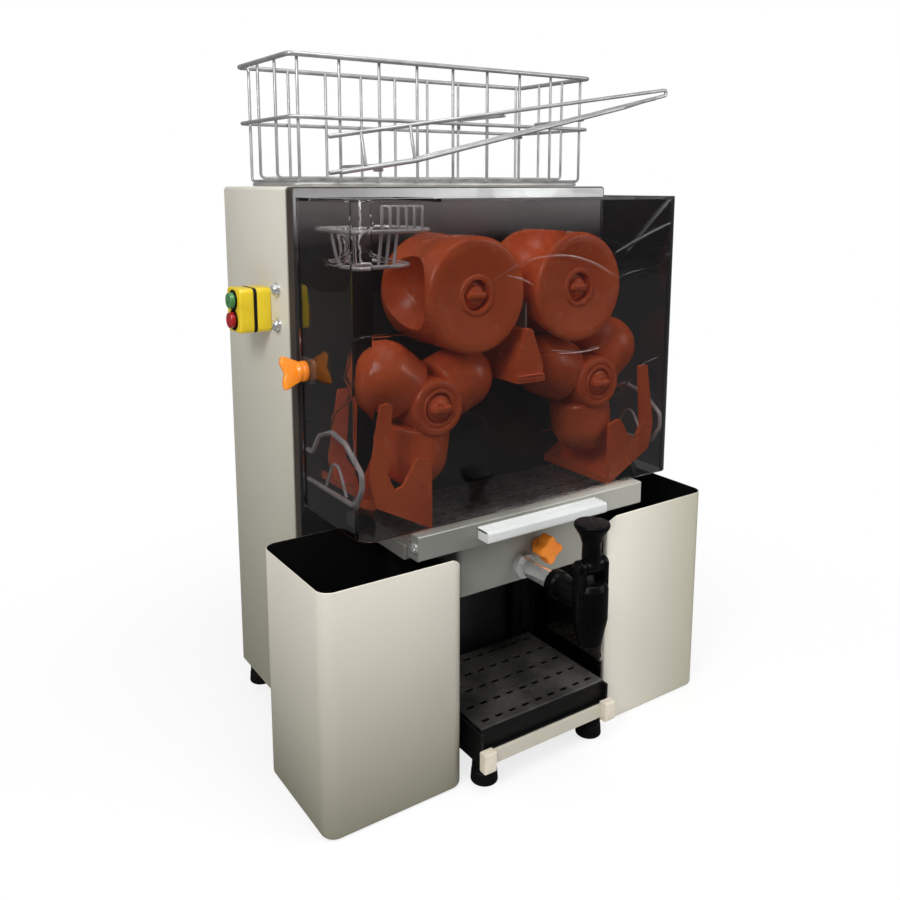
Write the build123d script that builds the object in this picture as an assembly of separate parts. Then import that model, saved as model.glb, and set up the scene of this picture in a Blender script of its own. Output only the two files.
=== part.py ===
from build123d import *
import os
from math import acos, atan2, cos, degrees, pi, radians, sin, sqrt, tan

# Automatic orange juicer, in millimetres. X is to the right of someone who faces it, Y goes back
# and Z goes up. While it is modelled, the front plate's face is y = 0 and the counter is z = 0;
# at the end everything moves along Y so that the origin is under the middle of the whole machine.

# Clearances
run_fit = 0.05          # radial, shafts and studs in their bores
slide_gap = 0.5         # beside parts that slide or lift
seat_gap = 0.3          # between parts that rest against each other and can be parted
weld_gap = 0.05         # between wires that are spot welded
air_gap = 4             # between moving pieces and what they pass

# Cabinet
cabinet_width = 400
cabinet_depth = 180
sheet = 1.5
shell_bend = 4
front_plate_thickness = 4
floor_thickness = 3
foot_height = 26
foot_radius = 14
foot_top_radius = 12
rear_foot_inset = 16
vent_rows = 6
vent_length = 90
vent_height = 5
vent_pitch = 14
vent_side = 80
vent_drop = 227         # from the cabinet's top to its lowest vent
screw_head_radius = 4
screw_head_height = 2.5
screw_inset = 14
screw_rows = 4

# Peel bins, which stand on the counter
bin_inner = 92
bin_overhang = 43       # beyond the cabinet's side
bin_front = 134
bin_height = 241
bin_wall = 1.5
bin_corner = 14
bin_shoulder = 14       # rounds the top of the walls towards the tank
bin_bottom_edge = 5
bin_clear = 1.7         # under the drawer's runners

# Drive: each lower drum's gear meshes with the gear of the upper drum over it, and a second
# gear on each upper shaft links the two sides
gear_module = 4
gear_teeth = 28
link_teeth = 32
pinion_teeth = 20
pressure_angle = 20
gear_backlash = 0.6
tooth_tip = 0.92        # of the module
tooth_root = 1.25       # of the module
gear_width = 18
link_width = 12
link_step = 2           # between the two gears on an upper shaft
link_hub_radius = 20
gear_front = 14         # the gears' front face, behind the front plate's face
upper_axis_rise = 240   # over the drawer's floor
upper_axis_drop = 101   # from the cabinet's top
lower_axis_spread = 38  # how much further out the lower axes are
shaft_radius = 9
shaft_nose_radius = 6
gear_plate_thickness = 5
gear_plate_gap = 6
gear_plate_margin = 62
bearing_radius = 16
bearing_flange_radius = 21
bearing_flange = 6
bearing_tail = 4
standoff_radius = 7
motor_radius = 44
motor_length = 62
gearbox_radius = 52
gearbox_length = 46
motor_fin_count = 7

# Drums
drum_rear = 22          # the drums' rear ends, in front of the front plate
cup_drum_length = 91
nip = 16                # between the two upper drums
ball_radius = 33
ball_setback = 5        # the balls' centres inside the gears' pitch line
peel_thickness = 5      # between a ball and the cup that it presses into
drum_edge = 5
dish_radius = 46
dish_depth = 4
lower_drum_short = 9    # how much shorter the lower drums are
ball_skirt_start = 22
ball_hub_radius = 28
boss_radius = 16
cup_well = 13           # how deep the upper drums' knobs are sunk
ball_well = 6           # how deep the lower drums' knobs are sunk
well_gap = 2            # round the knobs
cups = 3
lower_drum_turn = 22    # where the lower left drum's first ball points, from +X towards +Z
drum_knob_radius = 13
drum_knob_base = 5
drum_knob_wing_length = 22
drum_knob_wing_width = 6
drum_knob_wing = 8
drum_knob_sleeve = 2

# Knife
holder_gap = 1          # beside the balls' path
holder_apex_drop = 30   # from the upper axes
holder_shoulder_drop = 74
holder_rise = 15        # its underside over the lower axes
holder_lip = 7
holder_setback = 2      # behind the upper drums' front
lip_slot_length = 28
lip_slot_width = 1.6
blade_thickness = 2
blade_drop = 11         # its edge under the upper axes
blade_depth = 14        # how deep it stands in the holder
blade_inset = 7

# Peel ejectors and guards
fin_thickness = 4
fin_top_rise = 13       # over the lower axes
fin_short_drop = 43     # under the lower axes
fin_lift = 4.4          # over the drawer's screen
fin_outer_rise = 32     # their outer ends over their inner ends
fin_inner_out = 12      # outside the lower axes
fin_outer_out = 78
tine_width = 12
scraper_thickness = 7
guard_wire = 2.5        # radius
guard_inset = 4         # from the hood's wall
guard_low = 28          # over the hood's lower edge
guard_rear_rise = 30
guard_rise = 60
guard_bend = 10
guard_front_gap = 11    # behind the hood's front

# Wires of the feed chute, ramp and basket
thin_wire = 1.5         # radii
wire_size = 2.0
rim_wire = 2.5
chute_inset = 3         # from the hood's wall
chute_width = 92
chute_front_gap = 19    # behind the hood's front
chute_rear = 12
chute_drop = 29         # its ring under the hood's top
chute_corner = 30
hoop_side_inset = 8
hoop_right_inset = 20
hoop_drop = 32          # the lower hoop under the ring
hoop_corner = 24
comb_count = 6
comb_span = 42
comb_gap = 3            # under the hood's top wall
basket_inset = 10
basket_front_y = 20
basket_depth = 130
basket_height = 122
basket_middle = 64
basket_corner = 6
basket_columns = 9
basket_side_wires = 2
ramp_width = 16
ramp_rear = 56
ramp_clear = 22         # its low end over the hood
ramp_low_rise = 8.2     # degrees, up to the kink
ramp_rise = 12.8        # degrees, beyond the kink
ramp_kink = 82          # from the low end
ramp_left_inset = 8     # from the hood's left side
ramp_length = 426
guard_low_gap = 32      # guard rail over the ramp's rear rail, at the low end
ramp_tip_gap = 6
ramp_tip_bend = 2.5
ramp_turn_in = 80       # where the front rail turns in to the rear one, before the tip
ramp_stagger = 4
strut_spots = (31, 83)  # from the low end
tie_spots = (46, 206)
hook_drop = 10

# Hood
hood_inset = 4          # from the cabinet's side
hood_drop = 10          # from the cabinet's top
hood_wall = 3
hood_corner = 14
hood_knob_gap = 5.7     # inside it, before the upper drums' knobs
feed_margin = 6
feed_corner = 12
stud_radius = 3
stud_y = -12
stud_rise = 140         # over the hood's lower edge
tab_thickness = 3
tab_depth = 26
tab_height = 24
wing_hub_radius = 10
wing_hub = 11
wing_length = 34
wing_width = 7
wing_depth = 14
wing_edge = 2.5
wing_tilt = 17          # degrees, its top to the back

# Front base, drip tray and grille
base_gap = 8            # beside the bins
base_front = 150
base_height = 34
base_wall = 3
post_inset = 18
post_width = 16
post_depth = 12
post_rear = 4
tray_wall = 1.5
tray_end_gap = 2
tray_height = 32
grille_thickness = 2
grille_rows = 5
grille_columns = 9
grille_slot_width = 5
grille_rib = 8
rail_thickness = 3
rail_height = 15
rail_inset = 7
clip_width = 9
clip_overlap = 3

# Juice tank, pipe and tap
tank_gap = 6            # beside the bins
tank_front_gap = 10     # behind the hood's front
tank_rear = 2
tank_depth = 54
tank_corner = 6
pipe_x = -6
pipe_rise = 16          # over the tank's underside
pipe_radius = 9
pipe_bore = 7
pipe_length = 58
nut_radius = 14
nut_depth = 7
knob_x = 14
knob_rise = 34
knob_stud_radius = 4
knob_collar_radius = 8
knob_collar = 8
knob_star_radius = 15
knob_lobe_radius = 5
knob_lobes = 4
knob_star = 16
tap_reach = 44          # its upright axis, before the pipe's end
tap_body_radius = 17
tap_body_below = 18     # under the pipe's axis
tap_body_above = 22
tap_collar_radius = 14
spout_radius = 12
spout_bore = 8
spout_below = 41
pivot_above = 36
pivot_radius = 3
cheek_thickness = 5
cheek_gap = 11
cheek_radius = 8
lever_neck_radius = 9
lever_neck = 24
lever_flare = 15
lever_head_radius = 17
lever_head = 4

# Filter drawer
drawer_half_width = 143
drawer_overhang = 9     # before the hood's front
drawer_bar_depth = 13
drawer_bar_height = 24
drawer_bar_edge = 1.5
drawer_wall_height = 14
drawer_rear = 6
drawer_sheet = 1.5
drawer_lift = 4         # over the tank
drain_margin = 8
screen_thickness = 1.5
screen_rows = 6
screen_columns = 16
screen_slot_width = 5
screen_rib = 8
runner_thickness = 3
runner_lip = 36
runner_height = 14
grip_half_width = 76
grip_depth = 18
grip_height = 12
grip_edge = 3
grip_grooves = 3
grip_groove = 2.5
grip_lift = 8           # its underside over the bar's
hood_lift = 2           # the hood's lower edge over the bar

# Switch box on the left side, and cable gland at the rear
switch_y = 75
switch_drop = 123       # its middle under the cabinet's top
switch_width = 36
switch_tall = 45
switch_base = 15
switch_band = 3
switch_cover = 15
switch_corner = 5
button_radius = 8
button_spread = 20
button_travel = 3
button_proud = 6
button_edge = 1.5
button_seat = 7
dome_nut_drops = (101, 137)
dome_nut_y = 40
dome_radius = 6
washer_radius = 7.5
gland_side_inset = 50   # from the cabinet's side
gland_rise = 44         # over the cabinet's floor
gland_radius = 11
gland_thread = 5.5
gland_cap_radius = 8
gland_length = 12
gland_bore = 4

# Worked out from the values above
half_width = cabinet_width / 2
gland_x = half_width - gland_side_inset
drawer_floor = bin_height + bin_clear + runner_thickness + seat_gap
axis_distance = gear_module * gear_teeth
upper_axis_side = gear_module * link_teeth / 2
lower_axis_side = upper_axis_side + lower_axis_spread
upper_axis_height = drawer_floor + upper_axis_rise
cabinet_top = upper_axis_height + upper_axis_drop
axis_drop = sqrt(axis_distance**2 - lower_axis_spread**2)
lower_axis_height = upper_axis_height - axis_drop
axes = {
    "upper_left": (-upper_axis_side, upper_axis_height),
    "upper_right": (upper_axis_side, upper_axis_height),
    "lower_left": (-lower_axis_side, lower_axis_height),
    "lower_right": (lower_axis_side, lower_axis_height),
}
gear_back = gear_front + gear_width
link_front = gear_back + link_step
link_back = link_front + link_width
gear_plate_y = link_back + gear_plate_gap
shaft_back = gear_plate_y + gear_plate_thickness + bearing_tail
pinion_distance = gear_module * (gear_teeth + pinion_teeth) / 2
pinion_height = lower_axis_height - pinion_distance

cup_drum_front = drum_rear + cup_drum_length
ball_drum_front = cup_drum_front - lower_drum_short
drum_middle = (drum_rear + cup_drum_front) / 2
cup_drum_radius = upper_axis_side - nip / 2
ball_centre = axis_distance / 2 - ball_setback
ball_reach = ball_centre + ball_radius
cup_centre = axis_distance - ball_centre
cup_radius = ball_radius + peel_thickness
mesh_angle = degrees(atan2(axis_drop, lower_axis_spread))
upper_drum_turn = 180 + 2 * mesh_angle - lower_drum_turn

holder_half_width = lower_axis_side - ball_reach - holder_gap
holder_apex = upper_axis_height - holder_apex_drop
holder_shoulder = upper_axis_height - holder_shoulder_drop
holder_bottom = lower_axis_height + holder_rise
holder_front = cup_drum_front - holder_setback
blade_top = upper_axis_height - blade_drop
blade_seat = holder_apex - blade_depth

hood_half_width = half_width - hood_inset
hood_inside = hood_half_width - hood_wall
knob_length = seat_gap + drum_knob_base + drum_knob_wing
hood_front = cup_drum_front - cup_well + knob_length + hood_knob_gap + hood_wall
hood_bottom = drawer_floor + drawer_bar_height + hood_lift
hood_top = cabinet_top - hood_drop
basket_base = cabinet_top + seat_gap + wire_size
stud_height = hood_bottom + stud_rise

chute_left = hood_inside - chute_inset
chute_right = chute_left - chute_width
chute_front = hood_front - chute_front_gap - hood_wall
chute_ring_height = hood_top - chute_drop
comb_top = hood_top - hood_wall - comb_gap
ramp_low = hood_top + ramp_clear
ramp_left = hood_half_width - ramp_left_inset
ramp_kink_height = ramp_low + ramp_kink * tan(radians(ramp_low_rise))

base_half_width = bin_inner - base_gap
base_top = foot_height + base_height
bin_outer = half_width + bin_overhang
tank_half_width = bin_inner - tank_gap
tank_front = hood_front - tank_front_gap
tank_top = drawer_floor - drawer_lift
tank_bottom = tank_top - tank_depth
pipe_height = tank_bottom + pipe_rise
pipe_end = tank_front + pipe_length
knob_height = tank_bottom + knob_rise
tap_y = -pipe_end - tap_reach
pivot_height = pipe_height + pivot_above
drawer_front = hood_front + drawer_overhang
screen_front = drawer_front - drawer_bar_depth
wall_top = drawer_floor + drawer_wall_height
switch_height = cabinet_top - switch_drop
band_end = switch_base + switch_band
cover_end = band_end + switch_cover
button_heights = (switch_height + button_spread / 2, switch_height - button_spread / 2)
gland_height = foot_height + gland_rise

tray_side = base_half_width - base_wall - slide_gap
tray_front = base_front - base_wall - tray_end_gap
tray_rear = post_rear + post_depth + tray_end_gap
tray_floor = foot_height + floor_thickness
tray_top = tray_floor + tray_height


def block(x, y, z):
    """A box between two values on each axis."""
    size = [high - low for low, high in (x, y, z)]
    centre = [(high + low) / 2 for low, high in (x, y, z)]
    return Pos(*centre) * Box(*size)


def rod_y(radius, x, z, front, back):
    """A round bar along Y between two y values."""
    return Pos(x, (front + back) / 2, z) * Rot(90, 0, 0) * Cylinder(radius, back - front)


def rod_x(radius, y, z, left, right):
    """A round bar along X between two x values."""
    return Pos((left + right) / 2, y, z) * Rot(0, 90, 0) * Cylinder(radius, right - left)


def rod_z(radius, x, y, low, high):
    """A round bar along Z between two heights."""
    return Pos(x, y, (low + high) / 2) * Cylinder(radius, high - low)


def front_view(y):
    """A plane at this y whose sketch axes are X and Z; extruding it goes to the front."""
    return Plane(origin=(0, y, 0), x_dir=(1, 0, 0), z_dir=(0, -1, 0))


def wire(points, radius, bend=None):
    """A round wire through the points, with every corner bent to one radius."""
    path = FilletPolyline(*points, radius=bend) if len(points) > 2 else Line(*points)
    return sweep(Plane(origin=path @ 0, z_dir=path % 0) * Circle(radius), path=path)


def ring(x, y, z, radius, corner):
    """A closed level ring of wire on a rounded rectangle."""
    outline = RectangleRounded(x[1] - x[0], y[1] - y[0], corner)
    path = Pos((x[0] + x[1]) / 2, (y[0] + y[1]) / 2, z) * outline.wire()
    return sweep(Plane(origin=path @ 0, z_dir=path % 0) * Circle(radius), path=path)


def mirrored(solid):
    """The same piece on the other side of the machine."""
    return mirror(solid, about=Plane.YZ)


# Cabinet


def cabinet_shell():
    """Folded sheet: both sides and the top, open in front, behind and below."""
    outer = block((-half_width, half_width), (0, cabinet_depth), (foot_height, cabinet_top))
    outer = fillet(outer.edges().filter_by(Axis.Y).group_by(Axis.Z)[-1], shell_bend)
    inside = half_width - sheet
    inner = block((-inside, inside), (0, cabinet_depth), (foot_height, cabinet_top - sheet))
    inner = fillet(inner.edges().filter_by(Axis.Y).group_by(Axis.Z)[-1], shell_bend - sheet)
    return outer - inner


def front_plate():
    """Plate that closes the cabinet in front and carries the front bearings."""
    inside = half_width - sheet
    plate = block((-inside, inside), (0, front_plate_thickness), (foot_height, cabinet_top - sheet))
    plate = fillet(plate.edges().filter_by(Axis.Y).group_by(Axis.Z)[-1], shell_bend - sheet)
    for x, z in axes.values():
        plate -= rod_y(bearing_radius + run_fit, x, z, 0, front_plate_thickness)
    return plate


def back_panel():
    """Rear cover with two rows of vent slots and a hole for the cable gland."""
    inside = half_width - sheet
    back = (cabinet_depth - sheet, cabinet_depth)
    panel = block((-inside, inside), back, (foot_height, cabinet_top - sheet))
    panel = fillet(panel.edges().filter_by(Axis.Y).group_by(Axis.Z)[-1], shell_bend - sheet)
    for side in (-vent_side, vent_side):
        for row in range(vent_rows):
            low = cabinet_top - vent_drop + row * vent_pitch
            reach = (side - vent_length / 2, side + vent_length / 2)
            panel -= block(reach, back, (low, low + vent_height))
    return panel - rod_y(gland_thread + run_fit, gland_x, gland_height, *back)


def cover_fasteners():
    """Screws of the rear cover, and the two dome nuts beside the switch box."""
    heads = []
    lowest = foot_height + screw_inset
    highest = cabinet_top - screw_inset
    for side in (-1, 1):
        x = side * (half_width - screw_inset)
        for row in range(screw_rows):
            z = lowest + (highest - lowest) * row / (screw_rows - 1)
            back = cabinet_depth + screw_head_height
            head = rod_y(screw_head_radius, x, z, cabinet_depth, back)
            heads.append(fillet(head.edges().group_by(Axis.Y)[-1], screw_head_height / 2))
    face = -half_width - sheet
    for drop in dome_nut_drops:
        z = cabinet_top - drop
        washer = rod_x(washer_radius, dome_nut_y, z, face, -half_width)
        dome = Pos(face, dome_nut_y, z) * Sphere(dome_radius)
        beyond = dome_radius * 2
        outside = block((face - beyond, face), (dome_nut_y - beyond, dome_nut_y + beyond),
                        (z - beyond, z + beyond))
        heads.append(washer + (dome & outside))
    return heads


def cable_gland():
    """Threaded cable gland: flange, six-sided nut and domed cap, bored through."""
    nut_end = cabinet_depth + gland_length / 2
    nut = front_view(nut_end) * Pos(gland_x, gland_height) * RegularPolygon(gland_radius, 6)
    gland = extrude(nut, amount=gland_length / 2)
    cap = rod_y(gland_cap_radius, gland_x, gland_height, nut_end, cabinet_depth + gland_length)
    gland += fillet(cap.edges().group_by(Axis.Y)[-1], gland_length / 4)
    tail = cabinet_depth - gland_length / 2
    gland += rod_y(gland_thread, gland_x, gland_height, tail, cabinet_depth)
    return gland - rod_y(gland_bore, gland_x, gland_height, tail, cabinet_depth + gland_length)


def cabinet_floor():
    """Plate under the cabinet, between the sides, that carries the rear feet."""
    inside = half_width - sheet
    deep = (front_plate_thickness, cabinet_depth - sheet)
    return block((-inside, inside), deep, (foot_height, foot_height + floor_thickness))


def feet():
    """Four round rubber feet, a little narrower at the top."""
    rear_x = half_width - rear_foot_inset
    rear_y = cabinet_depth - rear_foot_inset
    front_x = base_half_width - foot_radius
    front_y = foot_radius - base_front
    pads = []
    for x, y in ((-rear_x, rear_y), (rear_x, rear_y), (-front_x, front_y), (front_x, front_y)):
        pad = Pos(x, y, foot_height / 2) * Cone(foot_radius, foot_top_radius, foot_height)
        pads.append(fillet(pad.edges().group_by(Axis.Z)[0], foot_radius / 8))
    return pads


# Front base


def front_base():
    """Low black frame between the bins, with two uprights that carry the juice tank."""
    side = (-base_half_width, base_half_width)
    base = block(side, (-base_front, 0), (foot_height, base_top))
    inside = base_half_width - base_wall
    hollow = (foot_height + floor_thickness, base_top)
    base -= block((-inside, inside), (base_wall - base_front, 0), hollow)
    front_lip = foot_height + rail_height
    base -= block((-inside, inside), (-base_front, base_wall - base_front), (front_lip, base_top))
    post_side = base_half_width - post_inset
    for x in (-post_side, post_side):
        reach = (x - post_width / 2, x + post_width / 2)
        deep = (-post_rear - post_depth, -post_rear)
        base += block(reach, deep, (foot_height + floor_thickness, tank_bottom))
    return base


def front_rail():
    """Stainless strip across the front of the base."""
    deep = (-base_front - rail_thickness, -base_front)
    reach = base_half_width - rail_inset
    return block((-reach, reach), deep, (foot_height, foot_height + rail_height))


def rail_clips():
    """Pale end clips of the front rail."""
    clips = []
    low = foot_height - clip_overlap
    high = foot_height + rail_height + clip_overlap
    reach = base_half_width - rail_inset
    for side in (-1, 1):
        ends = sorted((side * reach, side * (reach + clip_width)))
        deep = (-base_front - rail_thickness - clip_overlap, -base_front)
        clip = block(ends, deep, (low, high))
        clips.append(fillet(clip.edges().filter_by(Axis.Z).group_by(Axis.Y)[0], clip_overlap / 2))
    return clips


def drip_tray():
    """Open pan that lies in the base and catches drips, with a ledge for the grille."""
    deep = (-tray_front, -tray_rear)
    tray = block((-tray_side, tray_side), deep, (tray_floor, tray_top))
    inside = tray_side - tray_wall
    inner = (tray_wall - tray_front, -tray_rear - tray_wall)
    return tray - block((-inside, inside), inner, (tray_floor + tray_wall, tray_top))


def slotted_plate(x, y, z, rows, columns, slot, rib):
    """A plate pierced by rows of slots that run along X."""
    plate = block(x, y, z)
    length = (x[1] - x[0] - rib) / columns - rib
    pitch = (y[1] - y[0] - 2 * rib - slot) / (rows - 1)
    for row in range(rows):
        front = y[0] + rib + row * pitch
        for column in range(columns):
            left = x[0] + rib + column * (length + rib)
            plate -= block((left, left + length), (front, front + slot), z)
    return plate


def drip_grille():
    """Perforated plate that lies on the drip tray and lifts off."""
    side = (-tray_side, tray_side)
    high = (tray_top + seat_gap, tray_top + seat_gap + grille_thickness)
    deep = (-tray_front, -tray_rear)
    return slotted_plate(side, deep, high, grille_rows, grille_columns, grille_slot_width, grille_rib)


# Drive


def involute(angle):
    """The involute function of an angle in radians."""
    return tan(angle) - angle


def gear(teeth, turn, x, z, bore, front, back):
    """Spur gear about an axis along Y, with one tooth's middle at the angle turn."""
    pitch_radius = gear_module * teeth / 2
    base_radius = pitch_radius * cos(radians(pressure_angle))
    tip = pitch_radius + tooth_tip * gear_module
    root = pitch_radius - tooth_root * gear_module
    half_tooth = (pi * gear_module / 4 - gear_backlash / 4) / pitch_radius
    flank = []
    for radius in (max(root, base_radius), pitch_radius, tip):
        lean = involute(radians(pressure_angle)) - involute(acos(base_radius / radius))
        flank.append((radius, half_tooth + lean))
    flank[0] = (root, flank[0][1])
    outline = []
    for tooth in range(teeth):
        middle = radians(turn) + 2 * pi * tooth / teeth
        sides = [(r, middle - a) for r, a in flank] + [(r, middle + a) for r, a in reversed(flank)]
        outline += [(x + r * cos(a), z + r * sin(a)) for r, a in sides]
    face = make_face(Polyline(*outline, close=True))
    blank = extrude(front_view(back) * face, amount=back - front)
    return blank - rod_y(bore, x, z, front, back)


def mating_turn(turn, line, teeth, other_teeth):
    """Where a tooth of the second gear points when it meshes along a line at this angle."""
    return line + 180 - (turn - line) * teeth / other_teeth + 180 / other_teeth


def line_angle(start, end):
    """Direction from one drum axis to another, from +X towards +Z."""
    return degrees(atan2(axes[end][1] - axes[start][1], axes[end][0] - axes[start][0]))


gear_turns = {"upper_left": 0.0, "upper_right": 0.0}
for driver, driven in (("upper_left", "lower_left"), ("upper_right", "lower_right")):
    gear_turns[driven] = mating_turn(gear_turns[driver], line_angle(driver, driven),
                                     gear_teeth, gear_teeth)
pinion_turn = mating_turn(gear_turns["lower_right"], -90, gear_teeth, pinion_teeth)
link_turns = {"upper_left": 0.0, "upper_right": mating_turn(0, 0, link_teeth, link_teeth)}


def drum_front(place):
    """How far the drum on this axis reaches in front of the front plate."""
    return cup_drum_front if place.startswith("upper") else ball_drum_front


def knob_seat(place):
    """How far in front of the front plate the knob in the drum's well is seated."""
    return drum_front(place) - (cup_well if place.startswith("upper") else ball_well)


def shaft(place):
    """Drum shaft, with a thinner nose that the retaining knob screws onto."""
    x, z = axes[place]
    front = -knob_seat(place)
    nose_end = front - drum_knob_base - drum_knob_wing / 2
    return rod_y(shaft_radius, x, z, front, shaft_back) + rod_y(shaft_nose_radius, x, z, nose_end, front)


def drum_gear(place):
    """Gear keyed on a drum shaft inside the cabinet; the upper ones carry a link gear behind."""
    x, z = axes[place]
    bore = shaft_radius + run_fit
    wheel = gear(gear_teeth, gear_turns[place], x, z, bore, gear_front, gear_back)
    if place in link_turns:
        wheel += gear(link_teeth, link_turns[place], x, z, bore, link_front, link_back)
        hub = rod_y(link_hub_radius, x, z, gear_back, link_front)
        wheel += hub - rod_y(bore, x, z, gear_back, link_front)
    return wheel


def shaft_bearings():
    """Flanged bearings of the four shafts, in the front plate and in the gear plate."""
    bearings = []
    for x, z in axes.values():
        front = rod_y(bearing_flange_radius, x, z, -bearing_flange, 0)
        front = chamfer(front.edges().group_by(Axis.Y)[0], bearing_flange / 3)
        front += rod_y(bearing_radius, x, z, 0, front_plate_thickness + bearing_tail)
        front -= rod_y(shaft_radius + run_fit, x, z, -bearing_flange, gear_front)
        rear = rod_y(bearing_radius, x, z, gear_plate_y - bearing_tail, shaft_back)
        rear -= rod_y(shaft_radius + run_fit, x, z, gear_plate_y - bearing_tail, shaft_back)
        bearings += [front, rear]
    return bearings


def gear_plate():
    """Second plate behind the gears, bored for the rear bearings and the motor's nose."""
    deep = (gear_plate_y, gear_plate_y + gear_plate_thickness)
    side = lower_axis_side + gear_plate_margin
    high = (pinion_height - gear_plate_margin, upper_axis_height + gear_plate_margin)
    plate = block((-side, side), deep, high)
    plate = fillet(plate.edges().filter_by(Axis.Y), gear_plate_margin / 4)
    for x, z in axes.values():
        plate -= rod_y(bearing_radius + run_fit, x, z, *deep)
    return plate - rod_y(bearing_radius, lower_axis_side, pinion_height, *deep)


def plate_standoffs():
    """Six round posts that hold the gear plate off the front plate."""
    side = lower_axis_side + gear_plate_margin - 2 * standoff_radius
    low = pinion_height - gear_plate_margin + 2 * standoff_radius
    high = upper_axis_height + gear_plate_margin - 2 * standoff_radius
    spots = [(x, z) for x in (-side, side) for z in (low, high)]
    spots += [(-side / 3, low), (0, high)]
    return [rod_y(standoff_radius, x, z, front_plate_thickness, gear_plate_y) for x, z in spots]


def gearmotor():
    """Gearbox on the gear plate and a ribbed motor behind it."""
    x, z = lower_axis_side, pinion_height
    front = gear_plate_y + gear_plate_thickness
    box_end = front + gearbox_length
    motor_end = box_end + motor_length
    body = rod_y(gearbox_radius, x, z, front, box_end) + rod_y(motor_radius, x, z, box_end, motor_end)
    body = fillet(body.edges().group_by(Axis.Y)[-1], motor_radius / 6)
    groove = motor_length / (2 * motor_fin_count + 1)
    for fin in range(motor_fin_count):
        start = box_end + groove * (2 * fin + 1)
        cut = rod_y(motor_radius + groove, x, z, start, start + groove)
        body -= cut - rod_y(motor_radius - groove, x, z, start, start + groove)
    return body - rod_y(shaft_radius + run_fit, x, z, front, box_end)


def motor_pinion():
    """Pinion on the motor's shaft, meshing with the lower right drum's gear."""
    x, z = lower_axis_side, pinion_height
    pinion = gear(pinion_teeth, pinion_turn, x, z, shaft_radius, gear_front, gear_back)
    return pinion + rod_y(shaft_radius, x, z, gear_front, gear_plate_y + gearbox_length / 2)


# Drums and their knobs


def around(place, turn, radius):
    """X and Z of a point at this angle and radius about a drum's axis."""
    x, z = axes[place]
    return x + radius * cos(radians(turn)), z + radius * sin(radians(turn))


def drum_turns(place):
    """Angles of the three cups or balls of a drum; the right side mirrors the left."""
    first = upper_drum_turn if place.startswith("upper") else lower_drum_turn
    turns = [first + 360 * k / cups for k in range(cups)]
    return turns if place.endswith("left") else [180 - turn for turn in turns]


def cup_drum(place):
    """Barrel with three round cups that open outwards, and a dished front with a well for its knob."""
    x, z = axes[place]
    barrel = rod_y(cup_drum_radius, x, z, -cup_drum_front, -drum_rear)
    barrel = fillet(barrel.edges(), drum_edge)
    dish = Pos(x, -cup_drum_front + dish_depth / 2, z) * Rot(90, 0, 0)
    well = drum_knob_radius + well_gap
    barrel -= dish * Cone(well, dish_radius, dish_depth)
    barrel -= rod_y(well, x, z, -cup_drum_front, -knob_seat(place))
    barrel += rod_y(boss_radius, x, z, -drum_rear, -bearing_flange - seat_gap)
    for turn in drum_turns(place):
        cup_x, cup_z = around(place, turn, cup_centre)
        barrel -= Pos(cup_x, -drum_middle, cup_z) * Sphere(cup_radius)
    return barrel - rod_y(shaft_radius + run_fit, x, z, -cup_drum_front, 0)


def drum_ball():
    """A round-nosed ball with a short straight skirt and a rounded rim, about the Z axis."""
    rim = ball_radius - drum_edge
    skirt = ball_skirt_start + drum_edge
    outline = [Line((0, ball_skirt_start), (rim, ball_skirt_start)),
               CenterArc((rim, skirt), drum_edge, -90, 90),
               Line((ball_radius, skirt), (ball_radius, ball_centre)),
               CenterArc((0, ball_centre), ball_radius, 0, 90),
               Line((0, ball_reach), (0, ball_skirt_start))]
    return revolve(Plane.XZ * make_face(outline), axis=Axis.Z)


def ball_drum(place):
    """Hub with three domed balls that press into the cups, and a well for its knob."""
    x, z = axes[place]
    hub = rod_y(ball_hub_radius, x, z, -ball_drum_front, -drum_rear)
    hub = fillet(hub.edges(), drum_edge)
    hub += rod_y(boss_radius, x, z, -drum_rear, -bearing_flange - seat_gap)
    for turn in drum_turns(place):
        hub += Pos(x, -drum_middle, z) * Rot(0, 90 - turn, 0) * drum_ball()
    hub -= rod_y(drum_knob_radius + well_gap, x, z, -ball_drum_front, -knob_seat(place))
    return hub - rod_y(shaft_radius + run_fit, x, z, -ball_drum_front, 0)


def drum_knob(place):
    """Round retaining knob with a wing across it, bored for the shaft's nose."""
    x, z = axes[place]
    back = -knob_seat(place) - seat_gap
    front = back - drum_knob_base
    knob = rod_y(drum_knob_radius, x, z, front, back)
    knob = fillet(knob.edges().group_by(Axis.Y)[0], drum_knob_base / 2)
    half = drum_knob_wing_length / 2
    reach = (x - half, x + half)
    tall = (z - drum_knob_wing_width / 2, z + drum_knob_wing_width / 2)
    wing = block(reach, (front - drum_knob_wing, back), tall)
    wing = fillet(wing.edges().filter_by(Axis.Z).group_by(Axis.Y)[0], drum_knob_wing * 0.75)
    knob += wing & rod_y(drum_knob_radius, x, z, front - drum_knob_wing, back)
    knob += rod_y(shaft_nose_radius + drum_knob_sleeve, x, z, front - drum_knob_wing * 0.75, back)
    depth = drum_knob_base + drum_knob_wing / 2 + seat_gap
    return knob - rod_y(shaft_nose_radius + run_fit, x, z, back - depth, back)


# Knife


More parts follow.
